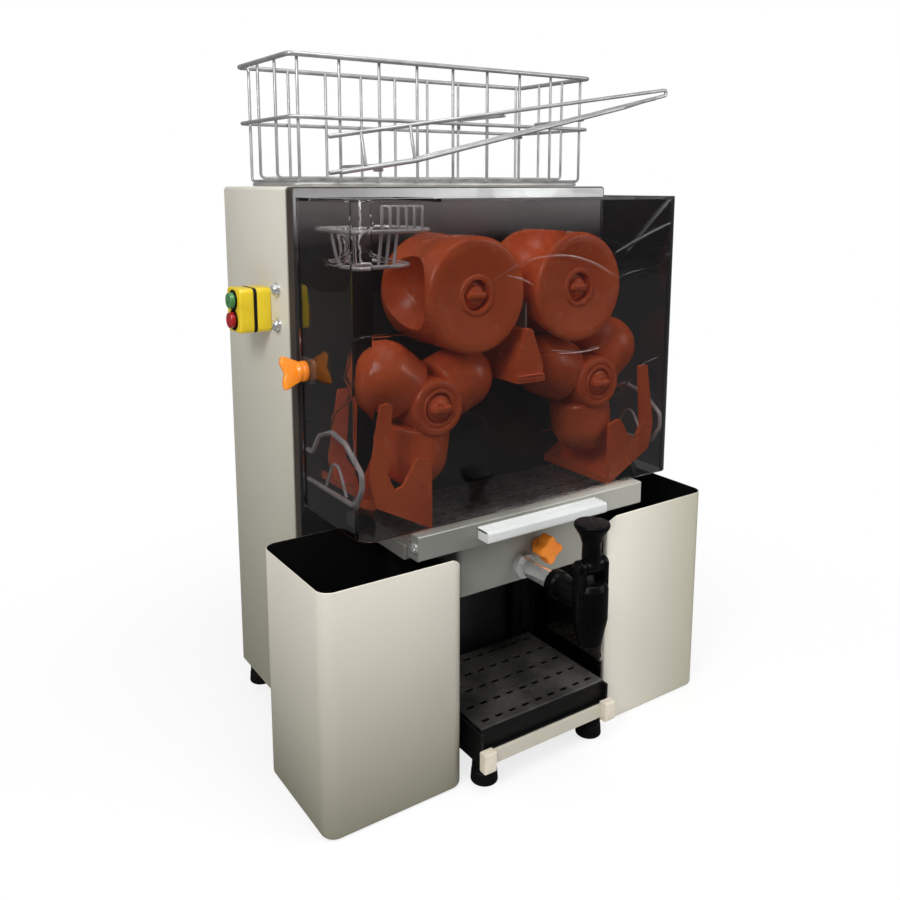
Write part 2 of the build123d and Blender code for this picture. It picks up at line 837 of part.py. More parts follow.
def knife_holder():
    """House-shaped bar between the drums, slotted for the blade, with a lip in front."""
    half = holder_half_width
    outline = [(-half, holder_bottom), (half, holder_bottom), (half, holder_shoulder),
               (0, holder_apex), (-half, holder_shoulder)]
    bar = extrude(front_view(0) * make_face(Polyline(*outline, close=True)), amount=holder_front)
    bar = fillet(bar.edges().filter_by(Axis.Y).group_by(Axis.Z)[-1], blade_thickness * 2)
    lip_high = holder_bottom + holder_lip
    deep = (-holder_front - holder_lip / 2, -holder_front)
    lip = block((-half, half), deep, (holder_bottom, lip_high))
    for step in (1, 3):
        low = holder_bottom + holder_lip * step / 4 - lip_slot_width / 2
        reach = (-lip_slot_length / 2, lip_slot_length / 2)
        lip -= block(reach, (deep[0], deep[0] + lip_slot_width), (low, low + lip_slot_width))
    bar += lip
    blade_half = blade_thickness / 2 + run_fit
    slot = (blade_inset - holder_front - run_fit, run_fit - blade_inset)
    return bar - block((-blade_half, blade_half), slot, (blade_seat, holder_apex))


def knife_blade():
    """Flat blade that stands in the holder, ground to an edge along its top."""
    half = blade_thickness / 2
    ground = blade_top - blade_thickness * 3
    outline = [(-half, blade_seat), (half, blade_seat), (half, ground), (half / 8, blade_top),
               (-half / 8, blade_top), (-half, ground)]
    face = make_face(Polyline(*outline, close=True))
    return extrude(front_view(-blade_inset) * face, amount=holder_front - 2 * blade_inset)


# Peel ejectors and guards


def peel_ejector():
    """Left ejector: two forked fins on either side of the balls, on one scraper floor."""
    left, right = -lower_axis_side - fin_outer_out, -lower_axis_side - fin_inner_out
    low_right = wall_top + screen_thickness + fin_lift
    low_left = low_right + fin_outer_rise
    fork = lower_axis_height - fin_short_drop
    top = lower_axis_height + fin_top_rise
    tine = tine_width
    outline = [(right, low_right), (right, fork - tine / 3), (right - tine * 1.3, fork),
               (right - tine * 2.6, fork - tine * 2), (left + tine * 2.2, fork - tine * 2.2),
               (left + tine * 1.5, fork - tine), (left + tine * 2, top), (left + tine, top),
               (left, fork - tine), (left + tine / 2, low_left)]
    face = make_face(Polyline(*outline, close=True))
    face = fillet(face.vertices(), tine / 5)
    front = drum_middle + ball_radius + air_gap
    rear = drum_middle - ball_radius - air_gap
    fins = extrude(front_view(-front) * face, amount=fin_thickness)
    fins += extrude(front_view(fin_thickness - rear) * face, amount=fin_thickness)
    lean = atan2(low_left - low_right, right - left - tine / 2)
    rise = scraper_thickness / cos(lean)
    floor = [(right, low_right), (right, low_right + rise), (left + tine / 2, low_left + rise),
             (left + tine / 2, low_left)]
    plate = make_face(Polyline(*floor, close=True))
    return fins + extrude(front_view(0) * plate, amount=front + fin_thickness)


def peel_guards():
    """Chrome wire loops inside the hood's sides, over the bins, each with a bent inner wire."""
    side = guard_inset - hood_inside
    front = guard_front_gap - hood_front
    low = hood_bottom + guard_low
    rear_high = low + guard_rear_rise
    top = low + guard_rise
    loop = [(0, rear_high), (front / 9, rear_high), (front / 4, top - guard_bend), (front / 2, top),
            (front * 3 / 4, top - guard_bend / 2), (front, rear_high + guard_bend / 2),
            (front, low + 2 * guard_bend), (front * 7 / 8, low), (0, low)]
    outer = wire([(side, y, z) for y, z in loop], guard_wire, guard_bend)
    foot = low + guard_wire + thin_wire + weld_gap
    bent = [(front * 3 / 8, foot), (front * 9 / 16, rear_high + guard_bend), (front * 3 / 4, foot)]
    inner = wire([(side, y, z) for y, z in bent], thin_wire, guard_bend)
    return [outer, inner, mirrored(outer), mirrored(inner)]


# Feed chute, basket and ramp


def feed_chute():
    """Wire cage that holds a fruit beside the upper left drum: two rings, ties and a comb."""
    upper_x, upper_y = (-chute_left, -chute_right), (-chute_front, -chute_rear)
    lower_x = (hoop_side_inset - chute_left, -chute_right - hoop_right_inset)
    lower_y = (hoop_side_inset - chute_front, -chute_rear - hoop_side_inset)
    hoop_height = chute_ring_height - hoop_drop
    wires = [ring(upper_x, upper_y, chute_ring_height, wire_size, chute_corner),
             ring(lower_x, lower_y, hoop_height, wire_size, hoop_corner)]
    touch = wire_size + thin_wire + weld_gap
    high, low = chute_ring_height + wire_size, hoop_height - wire_size
    for x in (lower_x[0] + hoop_corner, sum(lower_x) / 2, lower_x[1] - hoop_corner):
        wires.append(wire([(x, upper_y[0] + touch, high), (x, lower_y[0] + touch, low)], thin_wire))
        wires.append(wire([(x, upper_y[1] - touch, high), (x, lower_y[1] - touch, low)], thin_wire))
    middle = sum(upper_y) / 2
    wires.append(wire([(upper_x[0] + touch, middle, high), (lower_x[0] + touch, middle, low)], thin_wire))
    comb_left = chute_corner - chute_left
    for k in range(comb_count):
        x = comb_left + comb_span * k / (comb_count - 1)
        wires.append(rod_z(thin_wire, x, -chute_front, high + weld_gap, comb_top))
    tie_y = 2 * thin_wire + weld_gap - chute_front
    wires.append(rod_x(thin_wire, tie_y, comb_top - thin_wire, comb_left, comb_left + comb_span))
    for x in (comb_left, -chute_right - chute_corner):
        wires.append(rod_y(wire_size, x, chute_ring_height, wire_size + weld_gap - chute_rear, 0))
    return wires


def basket_column(column):
    """X of one of the basket's upright wires, counted from the left."""
    span = half_width - basket_inset - rim_wire - thin_wire - weld_gap - basket_corner
    return -span + 2 * span * column / (basket_columns - 1)


def fruit_basket():
    """Open wire basket: three rings, nine U-shaped wires across and two along."""
    half = half_width - basket_inset
    side = (-half, half)
    deep = (basket_front_y, basket_front_y + basket_depth)
    inset = rim_wire + thin_wire + weld_gap
    bend = thin_wire * 3
    wires = [ring(side, deep, basket_base + basket_height, rim_wire, basket_corner)]
    for step, z in ((inset + bend, basket_base), (rim_wire - wire_size, basket_base + basket_middle)):
        wires.append(ring((step - half, half - step), (deep[0] + step, deep[1] - step), z, wire_size,
                          basket_corner))
    top = basket_base + basket_height
    floor = basket_base + wire_size + thin_wire + weld_gap
    for column in range(basket_columns):
        x = basket_column(column)
        front, back = deep[0] + inset, deep[1] - inset
        wires.append(wire([(x, front, top), (x, front, floor), (x, back, floor), (x, back, top)],
                          thin_wire, bend))
    upper_floor = floor + 2 * thin_wire + weld_gap
    for row in range(basket_side_wires):
        y = deep[0] + basket_depth * (row + 1) / (basket_side_wires + 1)
        reach = half - inset
        wires.append(wire([(-reach, y, top), (-reach, y, upper_floor), (reach, y, upper_floor),
                           (reach, y, top)], thin_wire, bend))
    return wires


def ramp_height(x):
    """Height of the ramp's rails at this x; they are steeper beyond the kink."""
    beyond = x + ramp_left - ramp_kink
    return ramp_kink_height + beyond * tan(radians(ramp_rise if beyond > 0 else ramp_low_rise))


def feed_ramp():
    """Sloping wire ramp: two rails, a guard rail over the rear one, and stays to the basket."""
    rear, front = -ramp_rear, -ramp_rear - ramp_width
    ramp_right = ramp_length - ramp_left
    tip = ramp_height(ramp_right)
    guard_tip = tip + ramp_tip_gap
    guard_low = ramp_low + guard_low_gap
    guard_slope = (guard_tip - guard_low) / ramp_length
    kink = ramp_kink - ramp_left
    wires = [wire([(-ramp_left, rear, ramp_low), (kink, rear, ramp_kink_height), (ramp_right, rear, tip),
                   (ramp_right, rear, guard_tip), (-ramp_left, rear, guard_low)], wire_size,
                  ramp_tip_bend)]
    beside = rear - 2 * wire_size - weld_gap
    turn_in = ramp_right - ramp_turn_in
    rail = [(x, y, ramp_height(x)) for x, y in ((-ramp_left + ramp_stagger, front), (kink, front),
                                                (turn_in, front), (turn_in + ramp_turn_in / 2, beside),
                                                (ramp_right - ramp_turn_in / 4, beside))]
    wires.append(wire(rail, wire_size, ramp_turn_in / 3))
    touch = wire_size + thin_wire + weld_gap
    lean = atan2(ramp_width - 2 * touch, guard_low_gap)
    aside = touch / cos(lean)
    for spot in strut_spots:
        x = spot - ramp_left
        top = guard_low + guard_slope * spot
        wires.append(wire([(x, front + aside, ramp_height(x)), (x, rear - aside, top)], thin_wire))
    for spot in tie_spots:
        x = spot - ramp_left
        wires.append(rod_y(thin_wire, x, ramp_height(x) - touch, front, rear))
    hook = basket_base + basket_middle + touch
    inside = basket_front_y + rim_wire - wire_size + touch
    rail_hook = (hook + touch - ramp_kink_height) / tan(radians(ramp_rise)) + kink
    guard_hook = (hook + touch - guard_low) / guard_slope - ramp_left
    for x in (rail_hook, guard_hook):
        wires.append(wire([(x, rear - wire_size, hook), (x, inside, hook), (x, inside, hook - hook_drop)],
                          thin_wire, 2 * thin_wire))
    stop = basket_front_y + rim_wire - weld_gap
    stay = basket_column(1)
    wires.append(rod_y(thin_wire, stay, ramp_height(stay), rear + wire_size + weld_gap, stop))
    return wires


# Hood and its knobs


def hood():
    """Smoked clear box, open below and behind, with a feed opening in its top."""
    deep = (-hood_front, -slide_gap)
    outer = block((-hood_half_width, hood_half_width), deep, (hood_bottom, hood_top))
    outer = fillet(outer.edges().filter_by(Axis.Z).group_by(Axis.Y)[0], hood_corner)
    inner = block((-hood_inside, hood_inside), (hood_wall - hood_front, -slide_gap),
                  (hood_bottom, hood_top - hood_wall))
    inner = fillet(inner.edges().filter_by(Axis.Z).group_by(Axis.Y)[0], hood_corner - hood_wall)
    shell = outer - inner
    mouth = block((feed_margin - chute_left, -chute_right), (-chute_front, -chute_rear),
                  (hood_top - hood_wall, hood_top))
    shell -= fillet(mouth.edges().filter_by(Axis.Z), feed_corner)
    slot = stud_radius + slide_gap
    across = (-hood_half_width, hood_half_width)
    shell -= block(across, (stud_y, 0), (stud_height - slot, stud_height + slot))
    return shell - rod_x(slot, stud_y, stud_height, *across)


def hood_tabs():
    """Brackets on the front plate, each with a stud that reaches out through the hood's slot."""
    inner = hood_inside - slide_gap - tab_thickness
    tall = (stud_height - tab_height / 2, stud_height + tab_height / 2)
    tab = block((-inner - tab_thickness, -inner), (-tab_depth, 0), tall)
    tab = fillet(tab.edges().filter_by(Axis.X).group_by(Axis.Y)[0], tab_height / 4)
    stud_end = hood_half_width + wing_hub
    tab += rod_x(stud_radius, stud_y, stud_height, -stud_end, -inner)
    return [tab, mirrored(tab)]


def side_knob():
    """Left wing knob that clamps the hood on its stud."""
    inner = -hood_half_width - seat_gap
    outer = inner - wing_hub
    knob = rod_x(wing_hub_radius, stud_y, stud_height, outer, inner)
    knob = chamfer(knob.edges().group_by(Axis.X)[0], wing_hub_radius / 5)
    half = wing_width / 2
    wing_inner = -half_width - 2 * slide_gap
    wing = block((outer - wing_depth, wing_inner), (-half, half), (-wing_length / 2, wing_length / 2))
    wing = fillet(wing.edges().filter_by(Axis.Y), wing_edge)
    knob += Pos(0, stud_y, stud_height) * Rot(-wing_tilt, 0, 0) * wing
    depth = wing_hub + slide_gap
    return knob - rod_x(stud_radius + run_fit, stud_y, stud_height, inner - depth, inner)


# Peel bins


def peel_bin():
    """Left bin: tall open box with rounded corners that stands on the counter, lower beside the tank."""
    deep = (-bin_front, -slide_gap)
    outer = block((-bin_outer, -bin_inner), deep, (0, bin_height))
    outer = fillet(outer.edges().filter_by(Axis.Z), bin_corner)
    outer = fillet(outer.edges().group_by(Axis.Z)[0], bin_bottom_edge)
    inner = block((bin_wall - bin_outer, -bin_wall - bin_inner),
                  (bin_wall - bin_front, -slide_gap - bin_wall), (bin_wall, bin_height))
    inner = fillet(inner.edges().filter_by(Axis.Z), bin_corner - bin_wall)
    shell = outer - fillet(inner.edges().group_by(Axis.Z)[0], bin_bottom_edge - bin_wall)
    keep = block((-bin_outer, -bin_inner), deep, (0, bin_height))
    shoulder = keep.edges().filter_by(Axis.Y).group_by(Axis.Z)[-1].sort_by(Axis.X)[-1]
    return shell & fillet(shoulder, bin_shoulder)


# Juice tank, pipe and tap


def juice_tank():
    """Open trough under the filter, with holes for the pipe and the clamp knob."""
    deep = (-tank_front, -tank_rear)
    outer = block((-tank_half_width, tank_half_width), deep, (tank_bottom, tank_top))
    outer = fillet(outer.edges().filter_by(Axis.Z), tank_corner)
    inside = tank_half_width - sheet
    inner = block((-inside, inside), (sheet - tank_front, -tank_rear - sheet),
                  (tank_bottom + sheet, tank_top))
    tank = outer - fillet(inner.edges().filter_by(Axis.Z), tank_corner - sheet)
    wall = (-tank_front, sheet - tank_front)
    tank -= rod_y(pipe_radius + run_fit, pipe_x, pipe_height, *wall)
    return tank - rod_y(knob_stud_radius + run_fit, knob_x, knob_height, *wall)


def outlet_pipe():
    """Chrome tube from the tank to the tap, with its lock nut."""
    tail = nut_depth - tank_front
    pipe = rod_y(pipe_radius, pipe_x, pipe_height, -pipe_end, tail)
    nut = front_view(-tank_front) * Pos(pipe_x, pipe_height) * RegularPolygon(nut_radius, 6)
    pipe += extrude(nut, amount=nut_depth)
    return pipe - rod_y(pipe_bore, pipe_x, pipe_height, -pipe_end, tail)


def tap_body():
    """Black tap: inlet barrel, upright body, spout and two cheeks with the lever's pin."""
    low, high = pipe_height - tap_body_below, pipe_height + tap_body_above
    spout_low = pipe_height - spout_below
    body = rod_z(tap_body_radius, pipe_x, tap_y, low, high)
    body = chamfer(body.edges().group_by(Axis.Z)[-1], tap_body_radius / 4)
    body += rod_y(tap_collar_radius, pipe_x, pipe_height, tap_y, -pipe_end + nut_depth)
    body += Pos(pipe_x, tap_y, (spout_low + low) / 2) * Cone(spout_radius, tap_body_radius, low - spout_low)
    for side in (-1, 1):
        ends = sorted((pipe_x + side * cheek_gap, pipe_x + side * (cheek_gap + cheek_thickness)))
        cheek = block(ends, (tap_y - cheek_radius, tap_y + cheek_radius), (low, pivot_height))
        body += cheek + rod_x(cheek_radius, tap_y, pivot_height, *ends)
    reach = cheek_gap + cheek_thickness
    body += rod_x(pivot_radius, tap_y, pivot_height, pipe_x - reach, pipe_x + reach)
    body -= rod_z(spout_bore, pipe_x, tap_y, spout_low, pipe_height)
    body -= rod_y(pipe_bore, pipe_x, pipe_height, tap_y, -pipe_end)
    return body - rod_y(pipe_radius + run_fit, pipe_x, pipe_height, -pipe_end, -pipe_end + nut_depth)


def tap_lever():
    """Flared handle that flips forward on the tap's pin."""
    neck_top = pivot_height + lever_neck
    flare_top = neck_top + lever_flare
    lever = rod_z(lever_neck_radius, pipe_x, tap_y, pivot_height, neck_top)
    flare = Pos(pipe_x, tap_y, (neck_top + flare_top) / 2)
    lever += flare * Cone(lever_neck_radius, lever_head_radius, lever_flare)
    head = rod_z(lever_head_radius, pipe_x, tap_y, flare_top, flare_top + lever_head)
    lever += fillet(head.edges().group_by(Axis.Z)[-1], lever_head / 2)
    half = cheek_gap - slide_gap
    lever += rod_x(cheek_radius, tap_y, pivot_height, pipe_x - half, pipe_x + half)
    return lever - rod_x(pivot_radius + run_fit, tap_y, pivot_height, pipe_x - half, pipe_x + half)


def tank_clamp_knob():
    """Four-lobed knob that clamps the tank, with a round collar and a stud."""
    collar_end = -tank_front - seat_gap - knob_collar
    knob = rod_y(knob_collar_radius, knob_x, knob_height, collar_end, -tank_front - seat_gap)
    hub = knob_star_radius - knob_lobe_radius
    knob += rod_y(hub, knob_x, knob_height, collar_end - knob_star, collar_end)
    for lobe in range(knob_lobes):
        turn = radians(90 + 360 * lobe / knob_lobes)
        x = knob_x + hub * cos(turn)
        z = knob_height + hub * sin(turn)
        knob += rod_y(knob_lobe_radius, x, z, collar_end - knob_star, collar_end)
    return knob + rod_y(knob_stud_radius, knob_x, knob_height, -tank_front - seat_gap, sheet - tank_front)


# Filter drawer


def filter_frame():
    """Drawer: front bar and shallow pan whose floor drains into the tank."""
    side = (-drawer_half_width, drawer_half_width)
    bar = block(side, (-drawer_front, -screen_front), (drawer_floor, drawer_floor + drawer_bar_height))
    bar = fillet(bar.edges().filter_by(Axis.X).group_by(Axis.Y)[0], drawer_bar_edge)
    pan = block(side, (-screen_front, -drawer_rear), (drawer_floor, wall_top))
    inside = drawer_half_width - drawer_sheet
    pan -= block((-inside, inside), (-screen_front, -drawer_rear - drawer_sheet),
                 (drawer_floor + drawer_sheet, wall_top))
    drain = tank_half_width - drain_margin
    pan -= block((-drain, drain), (drain_margin - tank_front, -tank_rear - 2 * drain_margin),
                 (drawer_floor, drawer_floor + drawer_sheet))
    return bar + pan


def filter_screen():
    """Perforated screen that lies on the drawer's walls."""
    side = (-drawer_half_width, drawer_half_width)
    deep = (-screen_front, -drawer_rear)
    high = (wall_top, wall_top + screen_thickness)
    return slotted_plate(side, deep, high, screen_rows, screen_columns, screen_slot_width, screen_rib)


def drawer_grip():
    """White ridged pull along the drawer's front bar."""
    low = drawer_floor + grip_lift
    deep = (-drawer_front - grip_depth, -drawer_front)
    grip = block((-grip_half_width, grip_half_width), deep, (low, low + grip_height))
    grip = fillet(grip.edges().filter_by(Axis.X).group_by(Axis.Y)[0], grip_edge)
    pitch = grip_depth / (grip_grooves + 1)
    for groove in range(grip_grooves):
        y = -drawer_front - pitch * (groove + 1)
        cut = (y - grip_groove / 2, y + grip_groove / 2)
        grip -= block((-grip_half_width, grip_half_width), cut,
                      (low + grip_height - grip_groove, low + grip_height))
    return grip


def drawer_runners():
    """Angle brackets on the front plate that the drawer slides on."""
    outer = drawer_half_width + slide_gap + runner_thickness
    low = drawer_floor - seat_gap - runner_thickness
    deep = (-tank_front, 0)
    lip = block((-outer, runner_lip - outer), deep, (low, drawer_floor - seat_gap))
    web = block((-outer, runner_thickness - outer), deep, (low, low + runner_height))
    left = lip + web
    return [left, mirrored(left)]


# Switch box


def switch_slice(inner, outer):
    """A rounded slice of the switch box between two distances from the cabinet's side."""
    deep = (switch_y - switch_width / 2, switch_y + switch_width / 2)
    tall = (switch_height - switch_tall / 2, switch_height + switch_tall / 2)
    part = block((-half_width - outer, -half_width - inner), deep, tall)
    return fillet(part.edges().filter_by(Axis.X), switch_corner)


def switch_box():
    """Yellow box: base on the cabinet and cover with two button holes."""
    cover = switch_slice(band_end, cover_end)
    for z in button_heights:
        hole = (-half_width - cover_end, button_seat + button_travel - half_width - cover_end)
        cover -= rod_x(button_radius + slide_gap, switch_y, z, *hole)
    return [switch_slice(0, switch_base), cover]


def button(z):
    """Round push button that travels into the switch box."""
    outer = -half_width - cover_end - button_proud
    inner = button_seat - half_width - cover_end - seat_gap
    cap = rod_x(button_radius, switch_y, z, outer, inner)
    return fillet(cap.edges().group_by(Axis.X)[0], button_edge)


nodes = {
    "cabinet_shell": cabinet_shell(),
    "front_plate": front_plate(),
    "back_panel": back_panel(),
    "cover_fasteners": cover_fasteners(),
    "cable_gland": cable_gland(),
    "cabinet_floor": cabinet_floor(),
    "feet": feet(),
    "front_base": front_base(),
    "front_rail": front_rail(),
    "rail_clips": rail_clips(),
    "drip_tray": drip_tray(),
    "drip_grille": drip_grille(),
    "shaft_bearings": shaft_bearings(),
    "gear_plate": gear_plate(),
    "plate_standoffs": plate_standoffs(),
    "gearmotor": gearmotor(),
    "motor_pinion": motor_pinion(),
    "knife_holder": knife_holder(),
    "knife_blade": knife_blade(),
    "peel_ejector_left": peel_ejector(),
    "peel_ejector_right": mirrored(peel_ejector()),
    "peel_guards": peel_guards(),
    "feed_chute": feed_chute(),
    "fruit_basket": fruit_basket(),
    "feed_ramp": feed_ramp(),
    "hood": hood(),
    "hood_tabs": hood_tabs(),
    "side_knob_left": side_knob(),
    "side_knob_right": mirrored(side_knob()),
    "peel_bin_left": peel_bin(),
    "peel_bin_right": mirrored(peel_bin()),
    "juice_tank": juice_tank(),
    "outlet_pipe": outlet_pipe(),
    "tap_body": tap_body(),
    "tap_lever": tap_lever(),
    "tank_clamp_knob": tank_clamp_knob(),
    "filter_frame": filter_frame(),
    "filter_screen": filter_screen(),
    "drawer_grip": drawer_grip(),
    "drawer_runners": drawer_runners(),
    "switch_box": switch_box(),
    "switch_gasket": switch_slice(switch_base, band_end),
    "start_button": button(button_heights[0]),
    "stop_button": button(button_heights[1]),
}
for place in axes:
    nodes["shaft_" + place] = shaft(place)
    nodes["gear_" + place] = drum_gear(place)
    nodes["drum_knob_" + place] = drum_knob(place)
    nodes["drum_" + place] = cup_drum(place) if place.startswith("upper") else ball_drum(place)

# The origin goes under the middle of the whole machine
solids = {name: Compound(shape) if isinstance(shape, list) else shape for name, shape in nodes.items()}
boxes = [shape.bounding_box() for shape in solids.values()]
middle_y = (min(box.min.Y for box in boxes) + max(box.max.Y for box in boxes)) / 2

os.makedirs("parts", exist_ok=True)
for name, shape in solids.items():
    export_step(Pos(0, -middle_y, 0) * shape, "parts/" + name + ".step")
print("nodes", len(solids), "middle_y", middle_y)
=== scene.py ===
# %% [markdown]
# # An automatic orange juicer
# The machine stands on a counter: a tall steel cabinet at the back, a smoked hood over four orange
# drums, two peel bins, a wire basket and a tap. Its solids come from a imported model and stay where
# they are. Everything here is looks: smoother pieces worked out with numpy, finishes and light.

# %% Load the fixed frame
from math import radians

import bmesh
import bpy
import numpy as np
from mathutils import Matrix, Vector


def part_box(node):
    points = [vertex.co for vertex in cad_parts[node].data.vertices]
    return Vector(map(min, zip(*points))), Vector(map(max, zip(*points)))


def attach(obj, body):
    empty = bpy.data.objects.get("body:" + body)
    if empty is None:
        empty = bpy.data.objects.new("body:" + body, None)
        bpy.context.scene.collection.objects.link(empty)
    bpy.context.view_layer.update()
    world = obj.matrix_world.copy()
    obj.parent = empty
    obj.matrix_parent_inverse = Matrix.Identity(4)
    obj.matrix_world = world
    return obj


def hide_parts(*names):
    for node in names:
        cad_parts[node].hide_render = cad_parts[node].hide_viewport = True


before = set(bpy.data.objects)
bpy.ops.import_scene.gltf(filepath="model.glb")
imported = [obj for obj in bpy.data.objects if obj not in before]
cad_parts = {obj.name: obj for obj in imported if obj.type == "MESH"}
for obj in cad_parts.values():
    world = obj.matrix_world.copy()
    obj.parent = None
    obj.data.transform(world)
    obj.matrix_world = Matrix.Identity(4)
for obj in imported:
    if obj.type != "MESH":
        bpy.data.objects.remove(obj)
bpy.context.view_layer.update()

# %% [markdown]
# ## Working in millimetres from the front plate
# The frame is in metres with its origin under the middle of the machine. A maker measures from the
# plate that the drums stand on. Every piece could be moved into place as an object, but then its mesh
# would no longer say where it is. So the pieces are worked out in millimetres with y = 0 on that plate,
# and one function puts them into the frame at the very end.

# %% Millimetres, directions and the boxes of the solids
MM = 0.001
ACROSS, AHEAD, UP = np.eye(3)
plate_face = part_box("front_plate")[0].y


def span(node):
    """Lowest and highest corner of a solid in millimetres, with y = 0 on the front plate's face."""
    corners = np.array([tuple(corner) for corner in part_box(node)])
    return (corners - (0, plate_face, 0)) / MM


def middle(node):
    """Middle of a solid's box, in the same millimetres."""
    low, high = span(node)
    return (low + high) / 2


print("hood spans", np.round(span("hood"), 1).tolist())

# %% [markdown]
# ## Node groups: effects that several finishes share
# Real surfaces are never one colour. Slow clouds in the tone, a fine grain in the gloss and smudges from
# hands and juice are on nearly all of them. Each could be wired anew in every material. A node group is
# built once and placed in each material with its own values, like one tool used on many parts.

# %% Helpers that wire nodes
VECTOR, FLOAT, COLOUR = "NodeSocketVector", "NodeSocketFloat", "NodeSocketColor"


def joined(tree, *pairs):
    """Links each pair of an output and an input."""
    for output, target in pairs:
        tree.links.new(output, target)


def feed(tree, value, socket):
    """Links a socket to another node's output, or sets it where the value is plain."""
    if isinstance(value, bpy.types.NodeSocket):
        tree.links.new(value, socket)
    else:
        socket.default_value = value


def worked_out(tree, operation, first, second):
    """One Math node: two values added, multiplied or compared."""
    node = tree.nodes.new("ShaderNodeMath")
    node.operation = operation
    joined(tree, (first, node.inputs[0]), (second, node.inputs[1]))
    return node.outputs["Value"]


def remapped(tree, value, first, last, low=0.0, high=1.0, kind="SMOOTHSTEP"):
    """Carries the part of a value between first and last to the part between low and high."""
    node = tree.nodes.new("ShaderNodeMapRange")
    node.interpolation_type = kind
    for label, level in (("From Min", first), ("From Max", last), ("To Min", low), ("To Max", high)):
        node.inputs[label].default_value = level
    tree.links.new(value, node.inputs["Value"])
    return node.outputs["Result"]


def spread(tree, value, low, high):
    """Turns a mask from 0 to 1 into a value from low to high."""
    return remapped(tree, value, 0.0, 1.0, low, high, kind="LINEAR")


print("socket kinds in the groups:", VECTOR, FLOAT, COLOUR)


# %% Clouds, grain and smudges
def new_group(name, inputs, output, kind=FLOAT):
    """An empty shader node group with inputs of given kinds and one output."""
    group = bpy.data.node_groups.new(name, "ShaderNodeTree")
    for label, input_kind in inputs.items():
        group.interface.new_socket(label, in_out="INPUT", socket_type=input_kind)
    group.interface.new_socket(output, in_out="OUTPUT", socket_type=kind)
    return group, group.nodes.new("NodeGroupInput").outputs, group.nodes.new("NodeGroupOutput").inputs[0]


def noise_in(group, start, detail, roughness):
    """A noise texture inside a group, read at the group's vector and scale."""
    noise = group.nodes.new("ShaderNodeTexNoise")
    noise.inputs["Detail"].default_value = detail
    noise.inputs["Roughness"].default_value = roughness
    joined(group, (start["Vector"], noise.inputs["Vector"]), (start["Scale"], noise.inputs["Scale"]))
    return noise.outputs["Fac"]


def noise_group(name, output, detail, roughness, low, high):
    """A group with a noise whose part between low and high is stretched over 0 to 1."""
    group, start, end = new_group(name, {"Vector": VECTOR, "Scale": FLOAT}, output)
    group.links.new(remapped(group, noise_in(group, start, detail, roughness), low, high), end)
    return group


clouds_group = noise_group("soft_clouds", "Clouds", 3.0, 0.5, 0.3, 0.7)
grain_group = noise_group("fine_grain", "Grain", 4.0, 0.65, 0.25, 0.75)
smudge_group = noise_group("handled_smudges", "Smudge", 6.0, 0.6, 0.52, 0.74)
print("noise groups:", [group.name for group in bpy.data.node_groups])

# %% [markdown]
# ## Mixed tones and fades
# Fades here paint shade and light into the tone: sheet steel darker towards the counter, a dark band at an
# edge, and some parts lighter on one side.
# A painted image could show that, but would need unwrapping. A fade is shorter: the place along a
# direction is a dot product, and a Map Range node stretches it between a start and an end.


# %% Mixed tones and fades
def tone_mixer():
    """A group that mixes a light and a dark colour by a mask."""
    group, start, end = new_group("uneven_tone", {"Light": COLOUR, "Dark": COLOUR, "Mask": FLOAT},
                                  "Tone", COLOUR)
    mix = group.nodes.new("ShaderNodeMix")
    mix.data_type = "RGBA"
    joined(group, (start["Mask"], mix.inputs["Factor"]), (start["Light"], mix.inputs["A"]),
           (start["Dark"], mix.inputs["B"]), (mix.outputs["Result"], end))
    return group


def fade_mask():
    """A group that gives 0 at a start along a direction and 1 at an end, and a straight ramp between."""
    group, start, end = new_group(
        "fade_along", {"Vector": VECTOR, "Direction": VECTOR, "Start": FLOAT, "End": FLOAT}, "Fade")
    along = group.nodes.new("ShaderNodeVectorMath")
    along.operation = "DOT_PRODUCT"
    ramp = group.nodes.new("ShaderNodeMapRange")
    joined(group, (start["Vector"], along.inputs[0]), (start["Direction"], along.inputs[1]),
           (along.outputs["Value"], ramp.inputs["Value"]), (start["Start"], ramp.inputs["From Min"]),
           (start["End"], ramp.inputs["From Max"]), (ramp.outputs["Result"], end))
    return group


tone_group, fade_group = tone_mixer(), fade_mask()
print("tone and fade:", tone_group.name, fade_group.name)

# %% [markdown]
# ## Creases in a thin sheet
# A thin plastic sheet keeps fine creases where it was bent. As geometry they would need a very dense mesh,
# so they are lines in its relief. Short ones run where a slow noise passes one half, in patches. Long ones
# are arcs: the distance from a centre, compared with a radius.


# %% Creases
def crease_lines():
    """A group of lines where a slow noise passes one half, kept only in patches."""
    group, start, end = new_group("short_creases", {"Vector": VECTOR, "Scale": FLOAT}, "Crease")
    level = noise_in(group, start, 1.0, 0.4)
    patches = remapped(group, noise_in(group, start, 0.0, 0.5), 0.42, 0.62)
    line = worked_out(group, "MULTIPLY", remapped(group, level, 0.49, 0.5),
                      remapped(group, level, 0.51, 0.5))
    group.links.new(worked_out(group, "MULTIPLY", line, patches), end)
    return group


